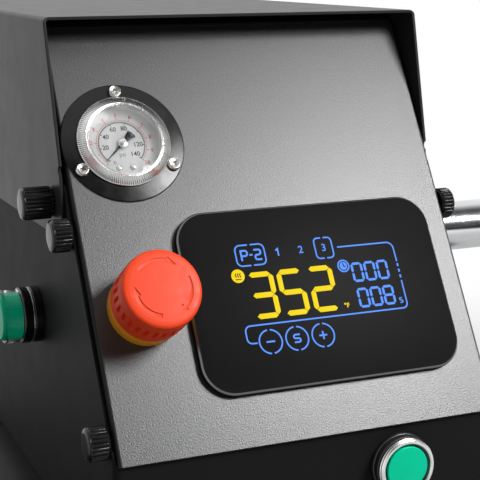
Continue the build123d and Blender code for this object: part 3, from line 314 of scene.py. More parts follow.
def eased(points, closed=False, steps=5):
    # a third number on a corner rounds it by that radius, as a true arc
    out, count = [], len(points)
    for k, corner in enumerate(points):
        here = Vector(corner[:2])
        radius = corner[2] if len(corner) > 2 else 0
        if not radius or (not closed and k in (0, count - 1)):
            out.append(tuple(here))
            continue
        before = Vector(points[k - 1][:2]) - here
        after = Vector(points[(k + 1) % count][:2]) - here
        half = before.angle(after) / 2
        reach = min(radius / tan(half), 0.499 * before.length, 0.499 * after.length)
        start, end = here + before.normalized() * reach, here + after.normalized() * reach
        weight = sin(half)
        for step in range(steps + 1):
            t = step / steps
            low, middle, high = (1 - t) ** 2, 2 * t * (1 - t) * weight, t * t
            out.append(tuple((start * low + here * middle + end * high) / (low + middle + high)))
    return out


def box2d(width, depth, corner=0.0, x=0.0, y=0.0, steps=8):
    half, tall = width / 2, depth / 2
    corners = [(x - half, y - tall), (x + half, y - tall), (x + half, y + tall), (x - half, y + tall)]
    return eased([(*c, corner) for c in corners], True, steps)


def circle2d(radius, x=0.0, y=0.0, steps=48):
    return [(x + radius * cos(2 * pi * k / steps), y + radius * sin(2 * pi * k / steps)) for k in range(steps)]


def arcPath(x, y, radius, start, end, steps):  # start and end in degrees
    turns = [radians(start + (end - start) * k / steps) for k in range(steps + 1)]
    return [(x + radius * cos(turn), y + radius * sin(turn)) for turn in turns]


def polar(radius, turn):
    return radius * cos(turn), radius * sin(turn)


def smooth(mesh, angle):
    # smooth shading up to the angle; faces of many corners stay flat
    mesh.polygons.foreach_set("use_smooth", [len(face.vertices) < 9 for face in mesh.polygons])
    mesh.set_sharp_from_angle(angle=radians(angle))


def finished(build, angle=32, mesh=None):
    # the mesh of what was built; at angle 0 the shading stays as it was
    mesh = mesh or bpy.data.meshes.new("work")
    build.to_mesh(mesh)
    build.free()
    if angle:
        smooth(mesh, angle)
    return mesh


def loft(build, rings, closed=False, caps=False):
    # faces between neighbouring rings of points, where one point makes a pole
    for low, high in zip(rings, rings[1:] + rings[:1] if closed else rings[1:]):
        count = max(len(low), len(high))
        for k in range(count if count > 1 else 0):
            after = (k + 1) % count
            corners = [low[k], low[after]] if len(low) > 1 else [low[0]]
            corners += [high[after], high[k]] if len(high) > 1 else [high[0]]
            build.faces.new(corners)
    if caps:
        build.faces.new(rings[0][::-1])
        build.faces.new(rings[-1])


def turned(profile, steps=96, shape=None, closed=False, ease=5):
    # profile: (radius, height) corners from the bottom up; shape(angle, radius, height) may move a point
    build, rings = bmesh.new(), []
    for radius, height in eased(profile, closed, ease):
        if radius < 1e-6:
            rings.append([build.verts.new((0, 0, height * mm))])
            continue
        ring = []
        for k in range(steps):
            angle = 2 * pi * k / steps
            r, h = shape(angle, radius, height) if shape else (radius, height)
            ring.append(build.verts.new((r * cos(angle) * mm, r * sin(angle) * mm, h * mm)))
        rings.append(ring)
    loft(build, rings, closed)
    bmesh.ops.recalc_face_normals(build, faces=build.faces)
    return finished(build)


def curveMesh(curve):
    former = bpy.data.objects.new("work", curve)
    mesh = bpy.data.meshes.new_from_object(former)
    bpy.data.objects.remove(former)
    bpy.data.curves.remove(curve)
    return mesh


def cutSheet(outlines, thickness, edge=0.25, low=0.0):
    # flat sheet with softened edges: the first outline is the rim, the others are holes
    curve = bpy.data.curves.new("work", "CURVE")
    curve.dimensions, curve.fill_mode = "2D", "BOTH"
    curve.extrude = thickness / 2 - edge
    curve.bevel_depth, curve.bevel_resolution, curve.offset = edge, 2, -edge
    for outline in outlines:
        spline = curve.splines.new("POLY")
        spline.points.add(len(outline) - 1)
        spline.use_cyclic_u = True
        for point, (x, y) in zip(spline.points, outline):
            point.co = (x, y, 0, 1)
    mesh = curveMesh(curve)
    build = bmesh.new()
    build.from_mesh(mesh)
    bmesh.ops.remove_doubles(build, verts=build.verts, dist=0.002)
    bmesh.ops.dissolve_limit(build, angle_limit=radians(0.5), verts=build.verts, edges=build.edges)
    for vert in build.verts:
        vert.co = Vector((vert.co.x, vert.co.y, vert.co.z + thickness / 2 + low)) * mm
    return finished(build, 40, mesh)


def fold(mesh, flatHalf, radius, bendSteps=8):
    # bends both sides of a flat sheet down by a right angle; the sheet's outer face is at z = 0
    build = bmesh.new()
    build.from_mesh(mesh)
    arc = radius * pi / 2
    for side in (-1, 1):
        for step in range(bendSteps + 1):
            s = side * (flatHalf + arc * step / bendSteps)
            everything = build.verts[:] + build.edges[:] + build.faces[:]
            bmesh.ops.bisect_plane(build, geom=everything, plane_co=(s * mm, 0, 0), plane_no=(1, 0, 0), dist=1e-7)
    for vert in build.verts:
        s, depth = vert.co.x / mm, vert.co.z / mm
        side, over = (1 if s > 0 else -1), abs(s) - flatHalf
        if over <= 0:
            continue
        turn = min(over / radius, pi / 2)
        across = flatHalf + (radius + depth) * sin(turn)
        down = -radius + (radius + depth) * cos(turn) - max(0, over - arc)
        vert.co.x, vert.co.z = side * across * mm, down * mm
    return finished(build, 30, mesh)


def alongWall(flatHalf, radius, depth):  # place on the flat sheet of a point that is `depth` down the folded side
    return flatHalf + radius * pi / 2 + depth - radius


def addPiece(name, mesh, finish, place=None, stands=(), body="swing_head", even=False):
    # stands: the CAD nodes that the piece replaces; even: shading for sheets with softened edges
    mesh.name = name
    obj = bpy.data.objects.new(name, mesh)
    scene.collection.objects.link(obj)
    if place is not None:
        obj.matrix_world = place
    mesh.materials.clear()
    mesh.materials.append(finishes[finish])
    if even:
        leveller = obj.modifiers.new("even shading", "WEIGHTED_NORMAL")
        leveller.keep_sharp = True
        leveller.weight = 100
    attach(obj, body)
    if stands:
        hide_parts(*stands)
    return obj


def addTurned(name, profile, finish, place, stands=(), steps=96, body="swing_head", **shaping):
    addPiece(name, turned(profile, steps, **shaping), finish, place, stands, body)


def joined(parts, angle=0):  # one mesh from several (mesh, matrix) pairs
    build = bmesh.new()
    for mesh, matrix in parts:
        mesh.transform(matrix)
        build.from_mesh(mesh)
        bpy.data.meshes.remove(mesh)
    return finished(build, angle)


def printed(outlines, thickness, edge=0.01):  # thin flat shapes, ready to be joined
    return [(cutSheet([outline], thickness, edge), Matrix()) for outline in outlines]


def cut(mesh, knives):
    # takes the knife meshes, given in the same place as the mesh, out of it
    made = [bpy.data.objects.new("work", data) for data in [mesh] + knives]
    for obj in made:
        scene.collection.objects.link(obj)
    for knife in made[1:]:
        step = made[0].modifiers.new("cut", "BOOLEAN")
        step.operation, step.solver, step.object = "DIFFERENCE", "MANIFOLD", knife
    result = bpy.data.meshes.new_from_object(made[0].evaluated_get(bpy.context.evaluated_depsgraph_get()))
    for obj in made:
        data = obj.data
        bpy.data.objects.remove(obj)
        bpy.data.meshes.remove(data)
    smooth(result, 32)
    return result


panHead = {
    "shank": 0.48,  # its radius as a share of the head's
    "rim": (0.15, 0.2),  # how far the head's lower edge is drawn in and up
    "crown": [(1, 0.45, 0.45), (0.8, 0.97, 0.9), (0.6, 0.86, 0.4), (0, 0.74)],  # shares of the radius and height
    "cross": (1.3, 0.42, 1.7), "crossFoot": 0.5, "crossLevel": 0.95,  # recess: shares of the head, and its taper
}


def screwMesh(radius, height, length, low, turn):
    # pan head screw with a tapered cross recess
    shank, (inward, upward) = radius * panHead["shank"], panHead["rim"]
    profile = [(0, low - length), (shank, low - length, 0.3), (shank, low), (radius - inward, low, 0.1),
               (radius, low + upward, 0.15)]
    profile += [(radius * r, low + height * h, *ease) for r, h, *ease in panHead["crown"]]
    knives, (across, thick, tall) = [], panHead["cross"]
    for angle in (0, 90):
        build = bmesh.new()
        for vert in bmesh.ops.create_cube(build, size=1)["verts"]:
            x, y, z = vert.co
            taper = 1.0 if z > 0 else panHead["crossFoot"]
            spot = Vector((x * radius * across * taper, y * radius * thick * taper, z * height * tall))
            spot.rotate(Matrix.Rotation(radians(turn + angle), 3, "Z"))
            vert.co = (spot + Vector((0, 0, low + height * panHead["crossLevel"]))) * mm
        knives.append(finished(build, 0))
    return cut(turned(profile, 40), knives)


def addScrews(name, size, spots, finish="zinc", place=None, stands=(), body="swing_head"):
    # screws in one piece; size: radius and height of the head, length, seat; spots: (x, y, z, turn) on the plane
    screws = [(screwMesh(*size, turn), at(x, y, z)) for x, y, z, turn in spots]
    addPiece(name, joined(screws, 32), finish, place, stands, body)


# the head's outer faces, on which the pieces are placed; the panel leans back by the slope
slope = radians(58.8)
panelPlane = plane((0, -272, 460), (1, 0, 0), (0, -sin(slope), cos(slope)))
frontPlane = plane((0, -269.6, 0), (1, 0, 0), (0, -1, 0))
leftWall = plane((-99.4, 0, 0), (0, -1, 0), (-1, 0, 0))
rightWall = plane((99.4, 0, 0), (0, 1, 0), (1, 0, 0))
rearPlane = plane((0, 258, 0), (-1, 0, 0), (0, 1, 0))


# sheet metal of the head: hood, case, control panel and rear panel

hoodSheet = {
    "thickness": 1.6, "bend": 3.0, "halfWidth": 101.4, "top": 652.8, "edge": 0.35,
    "nose": -176.5,  # y of the front edge
    # relief cut where a wing meets the panel's edge: y, z, radius, then start, end and steps of its round
    "notch": (-198.6, 582.0, 2.2, 80, -80, 6),
    "wingRoot": (-200.6, 560.5),
    "setBack": {-1: 0, 1: 5.8},  # how much further back the right wing ends than the left one
    "skirt": [(-196.4, 550.4), (-191.0, 548.7), (258.0, 540.0)],
    "knobHole": (-182.0, 564.5, 2.8),
}


def makeHood(look):
    radius, top, nose = look["bend"], look["top"], look["nose"]
    flat = look["halfWidth"] - radius
    rim = []

    def spot(side, y, z):  # a point of the folded side, on the flat sheet
        return side * alongWall(flat, radius, top - z), y

    for side in (1, -1):
        (notchY, notchZ, *notch), (rootY, rootZ) = look["notch"], look["wingRoot"]
        notchY, rootY = notchY + look["setBack"][side], rootY + look["setBack"][side]
        # the front edge leans back: on the bend it follows the wing's slope, so its corner stays a true cut
        lean = (notchY - nose) / (notchZ - top)
        path = [(side * flat, nose), spot(side, nose - lean * radius, top - radius)]
        path += [spot(side, y, z) for y, z in arcPath(notchY, notchZ, *notch) + [(rootY, rootZ)] + look["skirt"]]
        rim += path if side == 1 else path[::-1]
    y, z, hole = look["knobHole"]
    holes = [circle2d(hole, *spot(side, y, z), 24) for side in (-1, 1)]
    mesh = cutSheet([rim] + holes, look["thickness"], look["edge"], -look["thickness"])
    addPiece("hoodSheet", fold(mesh, flat, radius), "powder", at(0, 0, top), ["hood"], even=True)


makeHood(hoodSheet)
print("hood folded")


caseSheet = {
    "thickness": 1.5, "bend": 4.0, "halfWidth": 99.4, "edge": 0.35,
    "front": -269.6, "rear": 258.0, "floor": 400.0, "frontTop": 458.94, "sideTop": 575.0, "slopeEnd": -199.31,
    "slantBack": 1.2,  # how far the slanted edges lie behind the panel's face
    "bendSteps": 4,  # points of the slanted edge on the bend, where it starts
    "startHole": (44.6, 441.0, 11.1),
    "sideHoles": [(-1, -138.0, 497.0, 11.1), (1, -112.0, 517.3, 13.2)],  # side button and bar: side, y, z, radius
    "screwHoles": [(-182.0, 564.5, 2.6), (-258.8, 467.9, 2.8), (-207.3, 552.93, 2.8)],
    "floorFlange": 35.4, "floorCorners": (3, 4, 6),  # at the front, the rear and the inside
}


def makeCase(look):
    radius, thick, front, rear = look["bend"], look["thickness"], look["front"], look["rear"]
    flat = look["halfWidth"] - radius
    slant = (look["sideTop"] - look["frontTop"]) / (look["slopeEnd"] - front)

    def spot(side, y):
        return side * alongWall(flat, radius, y - front)

    right = [(flat, look["frontTop"])]
    for step in range(look["bendSteps"]):
        turn = pi / 2 * (step + 1) / look["bendSteps"]
        right.append((flat + radius * turn, look["frontTop"] + slant * radius * (1 - cos(turn))))
    back = look["slantBack"]
    right += [(spot(1, front + radius + back), look["frontTop"] + slant * radius),
              (spot(1, look["slopeEnd"] + back), look["sideTop"]), (spot(1, rear), look["sideTop"]),
              (spot(1, rear), look["floor"])]
    rim = right + [(-s, z) for s, z in right[::-1]]
    x, z, hole = look["startHole"]
    holes = [circle2d(hole, x, z)] + [circle2d(hole, spot(side, y), z) for side, y, z, hole in look["sideHoles"]]
    for side in (-1, 1):
        holes += [circle2d(hole, spot(side, y), z, 24) for y, z, hole in look["screwHoles"]]
    mesh = cutSheet([rim] + holes, thick, look["edge"], -thick)
    addPiece("caseSheet", fold(mesh, flat, radius), "case", frontPlane, ["head_case"], even=True)
    # bottom flanges, folded inwards
    half, near = look["halfWidth"] - thick, front + thick
    inner, hollow = half - look["floorFlange"], near + look["floorFlange"]
    atFront, atRear, inside = look["floorCorners"]
    rim = eased([(-half, near, atFront), (half, near, atFront), (half, rear), (inner, rear, atRear),
                 (inner, hollow, inside), (-inner, hollow, inside), (-inner, rear, atRear), (-half, rear)], True)
    addPiece("caseFloor", cutSheet([rim], thick, look["edge"]), "case", at(0, 0, look["floor"]), even=True)


panelSheet = {
    "thickness": 1.2, "bend": 1.5, "halfWidth": 97.5, "length": 219.0, "flange": 15.0, "edge": 0.25,
    "glossEnds": 0.35,  # share of the bend's radius at which the glossier front ends
    "footCut": [(2.1, 0), (2.2, 9.4), (7.8, 0)],  # relief at the foot: (depth down the side, distance up)
    "window": (103.7, 58.8, 3, 15.95, 69.6), "holes": [(11.1, -72.4, 71.4), (20.4, -67.55, 155.0)],
    "stripThickness": 1.6, "stripEdge": 0.3,
    "lip": (4.4, 0.6), "lipPlace": (0, 5.4, -6.4),  # depth and corner of the lip at the foot
    "topFlange": (10.4, 0.8, 0, 5.05), "topWider": 1,  # closes the gap between the panel's top edge and the hood
    "topPlane": ((0, -159.2, 646.6), (1, 0, 0), (0, -0.431, 0.902)),
}


def makePanel(look):
    radius = look["bend"]
    flat = look["halfWidth"] - radius
    down = look["footCut"] + [(look["flange"], 0), (look["flange"], look["length"])]
    right = [(flat, 0)] + [(alongWall(flat, radius, depth), v) for depth, v in down]
    rim = right + [(-s, v) for s, v in right[::-1]]
    holes = [box2d(*look["window"])] + [circle2d(*hole) for hole in look["holes"]]
    mesh = cutSheet([rim] + holes, look["thickness"], look["edge"], -look["thickness"])
    face = fold(mesh, flat, radius)
    # the front face and its folded left side differ in gloss, so they are two pieces that meet in the bend
    side = face.copy()
    for part, keepSide in ((face, False), (side, True)):
        build = bmesh.new()
        build.from_mesh(part)
        limit = (flat + radius * look["glossEnds"]) * mm
        gone = [f for f in build.faces if (f.calc_center_median().x < -limit) != keepSide]
        bmesh.ops.delete(build, geom=gone, context="FACES")
        finished(build, 0, part)
    addPiece("panelSheet", face, "panel", panelPlane, ["control_panel"], even=True)
    addPiece("panelSide", side, "powder", panelPlane, even=True)
    thick, edge = look["stripThickness"], look["stripEdge"]
    upright = panelPlane @ at(*look["lipPlace"]) @ Matrix.Rotation(radians(90), 4, "X")
    addPiece("panelLip", cutSheet([box2d(2 * flat, *look["lip"])], thick, edge), "powder", upright)
    topFlange = cutSheet([box2d(2 * flat + look["topWider"], *look["topFlange"])], thick, edge, -thick)
    addPiece("panelTopFlange", topFlange, "powder", plane(*look["topPlane"]))


rearSheet = {
    "thickness": 1.5, "bend": 1.8, "halfWidth": 97.6, "low": 401.5, "top": 650.9, "flange": 14.0, "edge": 0.3,
    "ventRows": 7, "ventSize": (42.0, 4.0, 1.99), "ventTop": 620.9, "ventStep": 10.0, "ventSide": 29.0,
    "mainsHole": (42.0, 56.0, 1.5, 45.0, 472.0), "lipThickness": 1.4, "lipCorner": 2, "lipGap": 2, "back": 258,
    "screw": (3.4, 2.2, 5, 0), "screwSide": 84.0, "screwHeights": (411.0, 526.0, 641.0), "screwTurn": 25,
}


def makeRearPanel(look):
    radius, thick = look["bend"], look["thickness"]
    flat = look["halfWidth"] - radius
    edge = alongWall(flat, radius, look["flange"])
    rim = [(edge, look["low"]), (edge, look["top"]), (-edge, look["top"]), (-edge, look["low"])]
    holes = [box2d(*look["mainsHole"])]
    for side in (-1, 1):
        for row in range(look["ventRows"]):
            height = look["ventTop"] - row * look["ventStep"]
            holes.append(box2d(*look["ventSize"], side * look["ventSide"], height))
    mesh = cutSheet([rim] + holes, thick, look["edge"], -thick)
    addPiece("rearSheet", fold(mesh, flat, radius), "powder", rearPlane, ["rear_panel"], even=True)
    lip = box2d(2 * flat, look["flange"] - look["lipGap"], look["lipCorner"])
    mesh = cutSheet([lip], look["lipThickness"], look["edge"], -look["lipThickness"])
    addPiece("rearLip", mesh, "powder", at(0, look["back"] - thick - look["flange"] / 2, look["top"]), even=True)
    heights = look["screwHeights"]
    spots = [(side * look["screwSide"], height) for side in (-1, 1) for height in heights]
    spots = [(x, z, 0, look["screwTurn"] * k) for k, (x, z) in enumerate(spots)]
    addScrews("rearScrews", look["screw"], spots, place=rearPlane)


makeCase(caseSheet)
makePanel(panelSheet)
makeRearPanel(rearSheet)
print("case, panel and rear sheet folded")


# display: dark glass with a polished rim, and the lit figures under it

def stackedPlate(width, depth, corner, levels, steps, x=0.0, y=0.0, closed=False):
    # rounded plate built up from outlines, each (inset, height); closed makes it a ring
    build, rings = bmesh.new(), []
    for inset, height in levels:
        outline = box2d(width - 2 * inset, depth - 2 * inset, max(corner - inset, 0.01), x, y, steps)
        rings.append([build.verts.new((px * mm, py * mm, height * mm)) for px, py in outline])
    loft(build, rings, closed, caps=not closed)
    return finished(build, 35)


def stroke(path, width, closed=False):
    # outline of a line of even width along a path; its sharp corners are cut short
    count, left, right = len(path), [], []
    for k, point in enumerate(path):
        here = Vector(point)
        before = here - Vector(path[k - 1]) if closed or k else None
        after = Vector(path[(k + 1) % count]) - here if closed or k < count - 1 else None
        sides = [Vector((-leg.y, leg.x)).normalized() for leg in (before, after) if leg is not None]
        normal = sum(sides, Vector((0, 0))).normalized()
        reach = width / 2 / max(normal.dot(sides[0]), 0.4)
        left.append(tuple(here + normal * reach))
        right.append(tuple(here - normal * reach))
    return [left, right] if closed else [left + right[::-1]]


def sevenSegment(digit, x, y, width, height, bar, gap):
    # lit bars of one figure; x and y are its lower left corner
    shown = {"0": "abcdef", "2": "abged", "3": "abgcd", "5": "afgcd", "8": "abcdefg"}[digit]
    half = bar / 2
    left, right, low, high, middle = x + half, x + width - half, y + half, y + height - half, y + height / 2
    ends = {
        "a": ((left, high), (right, high)), "d": ((left, low), (right, low)), "g": ((left, middle), (right, middle)),
        "f": ((left, middle), (left, high)), "b": ((right, middle), (right, high)),
        "e": ((left, low), (left, middle)), "c": ((right, low), (right, middle)),
    }
    bars = []
    for letter in shown:
        start, end = Vector(ends[letter][0]), Vector(ends[letter][1])
        along = (end - start).normalized()
        side = Vector((-along.y, along.x)) * half
        start, end = start + along * gap, end - along * gap
        bars.append([tuple(p) for p in (start, start + along * half - side, end - along * half - side, end,
                                        end - along * half + side, start + along * half + side)])
    return bars


def letters(text, x, y, height, bold=0.0):
    # printed figures as a mesh, with the matrix that sets them on a plate
    curve, half = bpy.data.curves.new("letters", "FONT"), 0.02  # half of their thickness
    curve.body, curve.size = text, height / 0.7  # a figure is 0.7 of the size high
    curve.align_x, curve.align_y = "CENTER", "CENTER"
    curve.offset, curve.extrude = bold, half
    return curveMesh(curve), Matrix.Scale(mm, 4) @ Matrix.Translation((x, y, half))


displayGlass = {
    "middle": (16.55, 69.6), "size": (136.9, 90.8, 15.6), "cornerSteps": 16,  # size: width, depth, corner
    "rim": [(0.5, 0), (0, 0.4), (0, 2.9), (0.12, 3.25), (0.75, 3.9), (1.0, 4.0)],  # (inset, height) up the edge
    "edge": [(0.3, 2.9), (-0.01, 3.0), (0.1, 3.27), (0.74, 3.93), (1.03, 4.02), (1.03, 3.5)],  # its ground corner
}

figures = {  # blue unless said otherwise; x and y start at the glass's lower left corner
    "line": 0.75, "height": 4.02, "thickness": 0.05,  # width of a drawn line, height above the panel
    "boxes": [  # left, right, low, high, corner, middle of the gap in the top and bottom line
        (28.2, 43.4, 61.6, 72.1, 2.6, 35.8), (70.4, 79.8, 61.6, 72.2, 2.4, 75.1)],
    "boxGap": 1.4,
    "programme": [  # (line width, points) of P, - and 2; a third number rounds a corner
        (0.95, [(31.0, 64.2), (31.0, 69.3), (34.2, 69.3, 1.2), (34.2, 66.6, 1.2), (31.4, 66.6)]),
        (0.85, [(35.3, 66.9), (36.9, 66.9)]),
        (0.95, [(37.8, 69.3), (41.2, 69.3, 1.0), (41.2, 66.9, 1.0), (38.2, 66.6, 1.0), (38.2, 64.3, 1.0),
                (41.5, 64.3)])],
    "frame": [  # round the readings, with three dots on its right side
        (0.75, [(82.4, 66.6), (109.6, 66.6)]),
        (0.75, arcPath(109.6, 63.0, 3.6, 90, 8, 10) + [(113.3, 56.2)]),
        (0.9375, [(113.3, 53.6), (113.3, 55.2)]),
        (0.9375, [(113.3, 50.6), (113.3, 52.2)]),
        (0.9375, [(113.3, 47.6), (113.3, 49.2)]),
        (0.75, [(113.3, 46.2), (113.3, 31.9, 2.6), (25.0, 31.9, 2.8), (25.0, 23.3, 2.8), (29.8, 23.3)])],
    "rings": ((36.6, 50.4, 64.2), 23.25, 5.8, 7),  # touch rings: x, y, radius, half of the open angle
    "signs": [  # minus, plus and S in the rings, the figure 1, a small s for seconds
        (0.85, [(34.4, 23.25), (38.8, 23.25)]),
        (0.85, [(62.1, 23.25), (66.3, 23.25)]),
        (0.85, [(64.2, 21.2), (64.2, 25.3)]),
        (0.85, [(52.1, 25.1), (48.8, 25.1, 0.9), (48.8, 23.3, 0.9), (52.0, 23.2, 0.9), (52.0, 21.4, 0.9),
                (48.7, 21.4)]),
        (0.8, [(49.2, 67.9), (50.4, 68.7), (50.4, 65.1)]),
        (0.55, [(111.2, 37.2), (109.7, 37.2, 0.5), (109.7, 36.1, 0.5), (111.2, 36.0, 0.5), (111.2, 34.8, 0.5),
                (109.6, 34.8)])],
    "readings": [  # figures, their left edges, foot, then width, height, bar and gap
        ("000", (87.2, 94.25, 101.3), 47.6, (6.3, 10.2, 1.25, 0.12)),
        ("008", (87.2, 94.25, 101.3), 34.3, (6.3, 10.2, 1.25, 0.12))],
    "mainReading": ("352", (31.3, 46.8, 62.9), 34.6, (13.8, 23.4, 2.6, 0.14)),  # yellow
    "texts": [("2", 62.6, 67.0, 3.7, 0.05), ("3", 75.1, 66.9, 3.7, 0.05)],  # text, x, y, height, weight
    "unit": ("°F", 80.3, 36.4, 2.3, 0.08),  # yellow
    "heatSign": (3.4, 27.1, 56.9), "clockSign": (3.3, 83.4, 56.6),  # discs, the first yellow: radius, x, y
    # dark marks on the two discs: three waves over a line, and a clock's ring and hands
    "waves": {"x": (25.95, 27.1, 28.25), "swing": 0.28, "turn": 2.2, "foot": 56.2, "rise": 0.55,
              "steps": (0, 0.8, 1.6, 2.4, 3.2, 4.0), "line": 0.42, "under": [(25.6, 55.2), (28.6, 55.2)]},
    "clock": {"ring": 2.3, "line": 0.45, "hands": [(83.4, 58.2), (83.4, 56.5), (84.7, 56.1)], "handLine": 0.5},
}


def drawStrokes(strokes):
    return [outline for width, points in strokes for outline in stroke(eased(points), width)]


def drawDigits(digits, lefts, foot, size):
    return [bar for digit, left in zip(digits, lefts) for bar in sevenSegment(digit, left, foot, *size)]


def makeDisplay(look, figures):
    x, v = look["middle"]
    width, depth, corner = look["size"]
    for name, levels, finish, stands in (("displayGlass", "rim", "glass", ["display_glass"]),
                                         ("displayEdge", "edge", "glassEdge", [])):
        plate = stackedPlate(width, depth, corner, look[levels], look["cornerSteps"], closed=levels == "edge")
        addPiece(name, plate, finish, panelPlane @ at(x, v), stands)
    line, thin = figures["line"], figures["thickness"]
    blue = []
    for side in (-1, 1):
        for left, right, low, high, corner, middle in figures["boxes"]:
            edge = left if side < 0 else right
            gap = middle + side * figures["boxGap"] / 2
            blue += stroke(eased([(gap, low), (edge, low, corner), (edge, high, corner), (gap, high)]), line)
    blue += drawStrokes(figures["programme"] + figures["frame"])
    ringsX, ringY, radius, opening = figures["rings"]
    for ringX in ringsX:
        blue += stroke(arcPath(ringX, ringY, radius, 90 + opening, 270 - opening, 28), line)
        blue += stroke(arcPath(ringX, ringY, radius, opening - 90, 90 - opening, 28), line)
    blue += drawStrokes(figures["signs"])
    for reading in figures["readings"]:
        blue += drawDigits(*reading)
    blue.append(circle2d(*figures["clockSign"], 40))
    yellow = drawDigits(*figures["mainReading"]) + [circle2d(*figures["heatSign"], 40)]
    blueParts = printed(blue, thin) + [letters(*text) for text in figures["texts"]]
    yellowParts = printed(yellow, thin) + [letters(*figures["unit"])]
    corner, height = (x - width / 2, v - depth / 2), figures["height"]
    place = panelPlane @ at(*corner, height)
    addPiece("displayBlue", joined(blueParts), "litBlue", place)
    addPiece("displayYellow", joined(yellowParts), "litYellow", place)
    waves, clock = figures["waves"], figures["clock"]
    marks = []
    for waveX in waves["x"]:
        marks += stroke([(waveX + waves["swing"] * sin(t * waves["turn"]), waves["foot"] + waves["rise"] * t)
                         for t in waves["steps"]], waves["line"])
    marks += stroke(waves["under"], waves["line"])
    marks += stroke(clock["hands"], clock["handLine"])
    ring = stroke(circle2d(clock["ring"], *figures["clockSign"][1:], 36), clock["line"], True)
    parts = printed(marks, thin) + [(cutSheet(ring, thin, 0.01), Matrix())]
    addPiece("displayMarks", joined(parts), "glass", panelPlane @ at(*corner, height + thin))


makeDisplay(displayGlass, figures)
print("display lit")


# pressure gauge

gauge = {
    "middle": (-67.55, 155.0),
    "flange": [(20.4, 0), (30.5, 0, 0.2), (30.9, 0.15), (30.9, 0.55, 0.25), (30.4, 0.75, 0.4), (22.0, 1.85),
               (20.4, 1.85), (20.4, 2.4), (19.2, 2.4), (19.2, -2.2), (0, -2.2)],  # slightly dished outward
    "can": [(0, -38), (5, -38, 0.5), (5, -24), (20.3, -24, 1.5), (20.3, -0.1)],
    "bezel": [(20.6, 1.9), (23.1, 1.9, 0.3), (23.4, 2.2, 0.2), (23.4, 2.7, 0.3), (22.9, 3.0, 0.2), (19.3, 4.85, 0.2),
              (19.0, 4.8, 0.1), (18.85, 4.6, 0.1), (18.6, 4.95, 0.12), (18.3, 5.15, 0.15), (17.95, 5.0, 0.15),
              (17.85, 4.7, 0.1), (17.85, 4.1)],
    "teeth": 132, "toothDepth": 0.6, "toothStart": 19.5, "toothEnd": 23.2, "toothFoot": 2.8, "toothRise": 0.3,
    "grooveShade": [(19.7, 4.37), (19.7, 2.3), (22.75, 2.3), (22.75, 2.8)],  # dark ring under the teeth, painted shade that shows in the grooves between them
    "glass": [(0, 2.5), (19.9, 2.5, 0.2), (19.9, 4.05, 0.2), (0, 4.05)],
    "wall": [(18.9, 2.35), (18.9, -1.6, 0.3), (18.4, -2.0)],
    "face": [(0, -2.2), (19.1, -2.2), (19.1, -2.05, 0.05), (0, -2.05)],
    "startAngle": 228.0, "sweep": 271.0,  # where zero stands and how far the scale runs, clockwise
    "scalePlace": (-0.15, 0.1, -2.05), "printing": (0.04, 0.008),  # thickness and edge of what is printed
    "scaleArcs": {"scaleRed": (12.15, 0.14), "scaleBlack": (11.5, 0.2), "scaleGreen": (11.15, 0.45)},  # radius, width
    "arcSteps": 90,
    # ticks: steps on the scale, every so many a long one, inner end, then the far end and width of long and short
    "ticks": {"scaleRed": (50, 5, 12.15, (13.35, 0.34), (12.75, 0.22)),
              "scaleBlack": (28, 4, 11.5, (10.3, 0.42), (10.8, 0.2))},
    "outerTop": 10, "outerFigure": (14.9, 1.9, 0.03),  # radius, height and weight of the red figures
    "innerTop": 140, "innerStep": 20, "innerFigure": (8.3, 2.2, 0.05),
    "offRing": {100: (6.7, 1.7), 120: (8.0, 2.2), 140: (7.9, 2.2)},  # radius and height of the figures off the ring
    "zero": (10.4, -118, 1.6), "unit": (5.3, -95, 2.2),  # radius, angle and height
    "blade": [(-13.6, -0.14), (-13.6, 0.14), (-2.0, 0.62), (2.0, 0.75), (3.0, 0.95), (6.9, 2.35, 0.2), (7.4, 0.0, 0.5),
              (6.9, -2.35, 0.2), (3.0, -0.95), (2.0, -0.75), (-2.0, -0.62)],  # the needle, with a broad tail
    "bladeSheet": (0.35, 0.06, -0.75), "bladeTurn": 42.5,
    "hub": [(0, -0.9), (1.7, -0.9), (2.4, -0.7, 0.2), (2.4, 0.1, 0.25), (2.1, 0.35, 0.2), (0.55, 0.6, 0.1), (0.4, 0.2),
            (0, 0.2)],
    "pin": [(0, -2.05), (1.6, -2.05), (1.6, -1.75, 0.3), (1.1, -1.15, 0.8), (0, -0.95)],
    "pins": [(-3.6, -11.8), (3.3, -11.9)],
    "screw": (3.45, 2.1, 5.0, 1.35), "screwRing": 26.5, "screws": [(90, 20), (210, 65), (330, 40)],  # place, turn
}
onGauge = panelPlane @ at(*gauge["middle"])


def gaugeAngle(share):  # angle on the dial, in radians, for a share of the full scale
    return radians(gauge["startAngle"] - gauge["sweep"] * share)


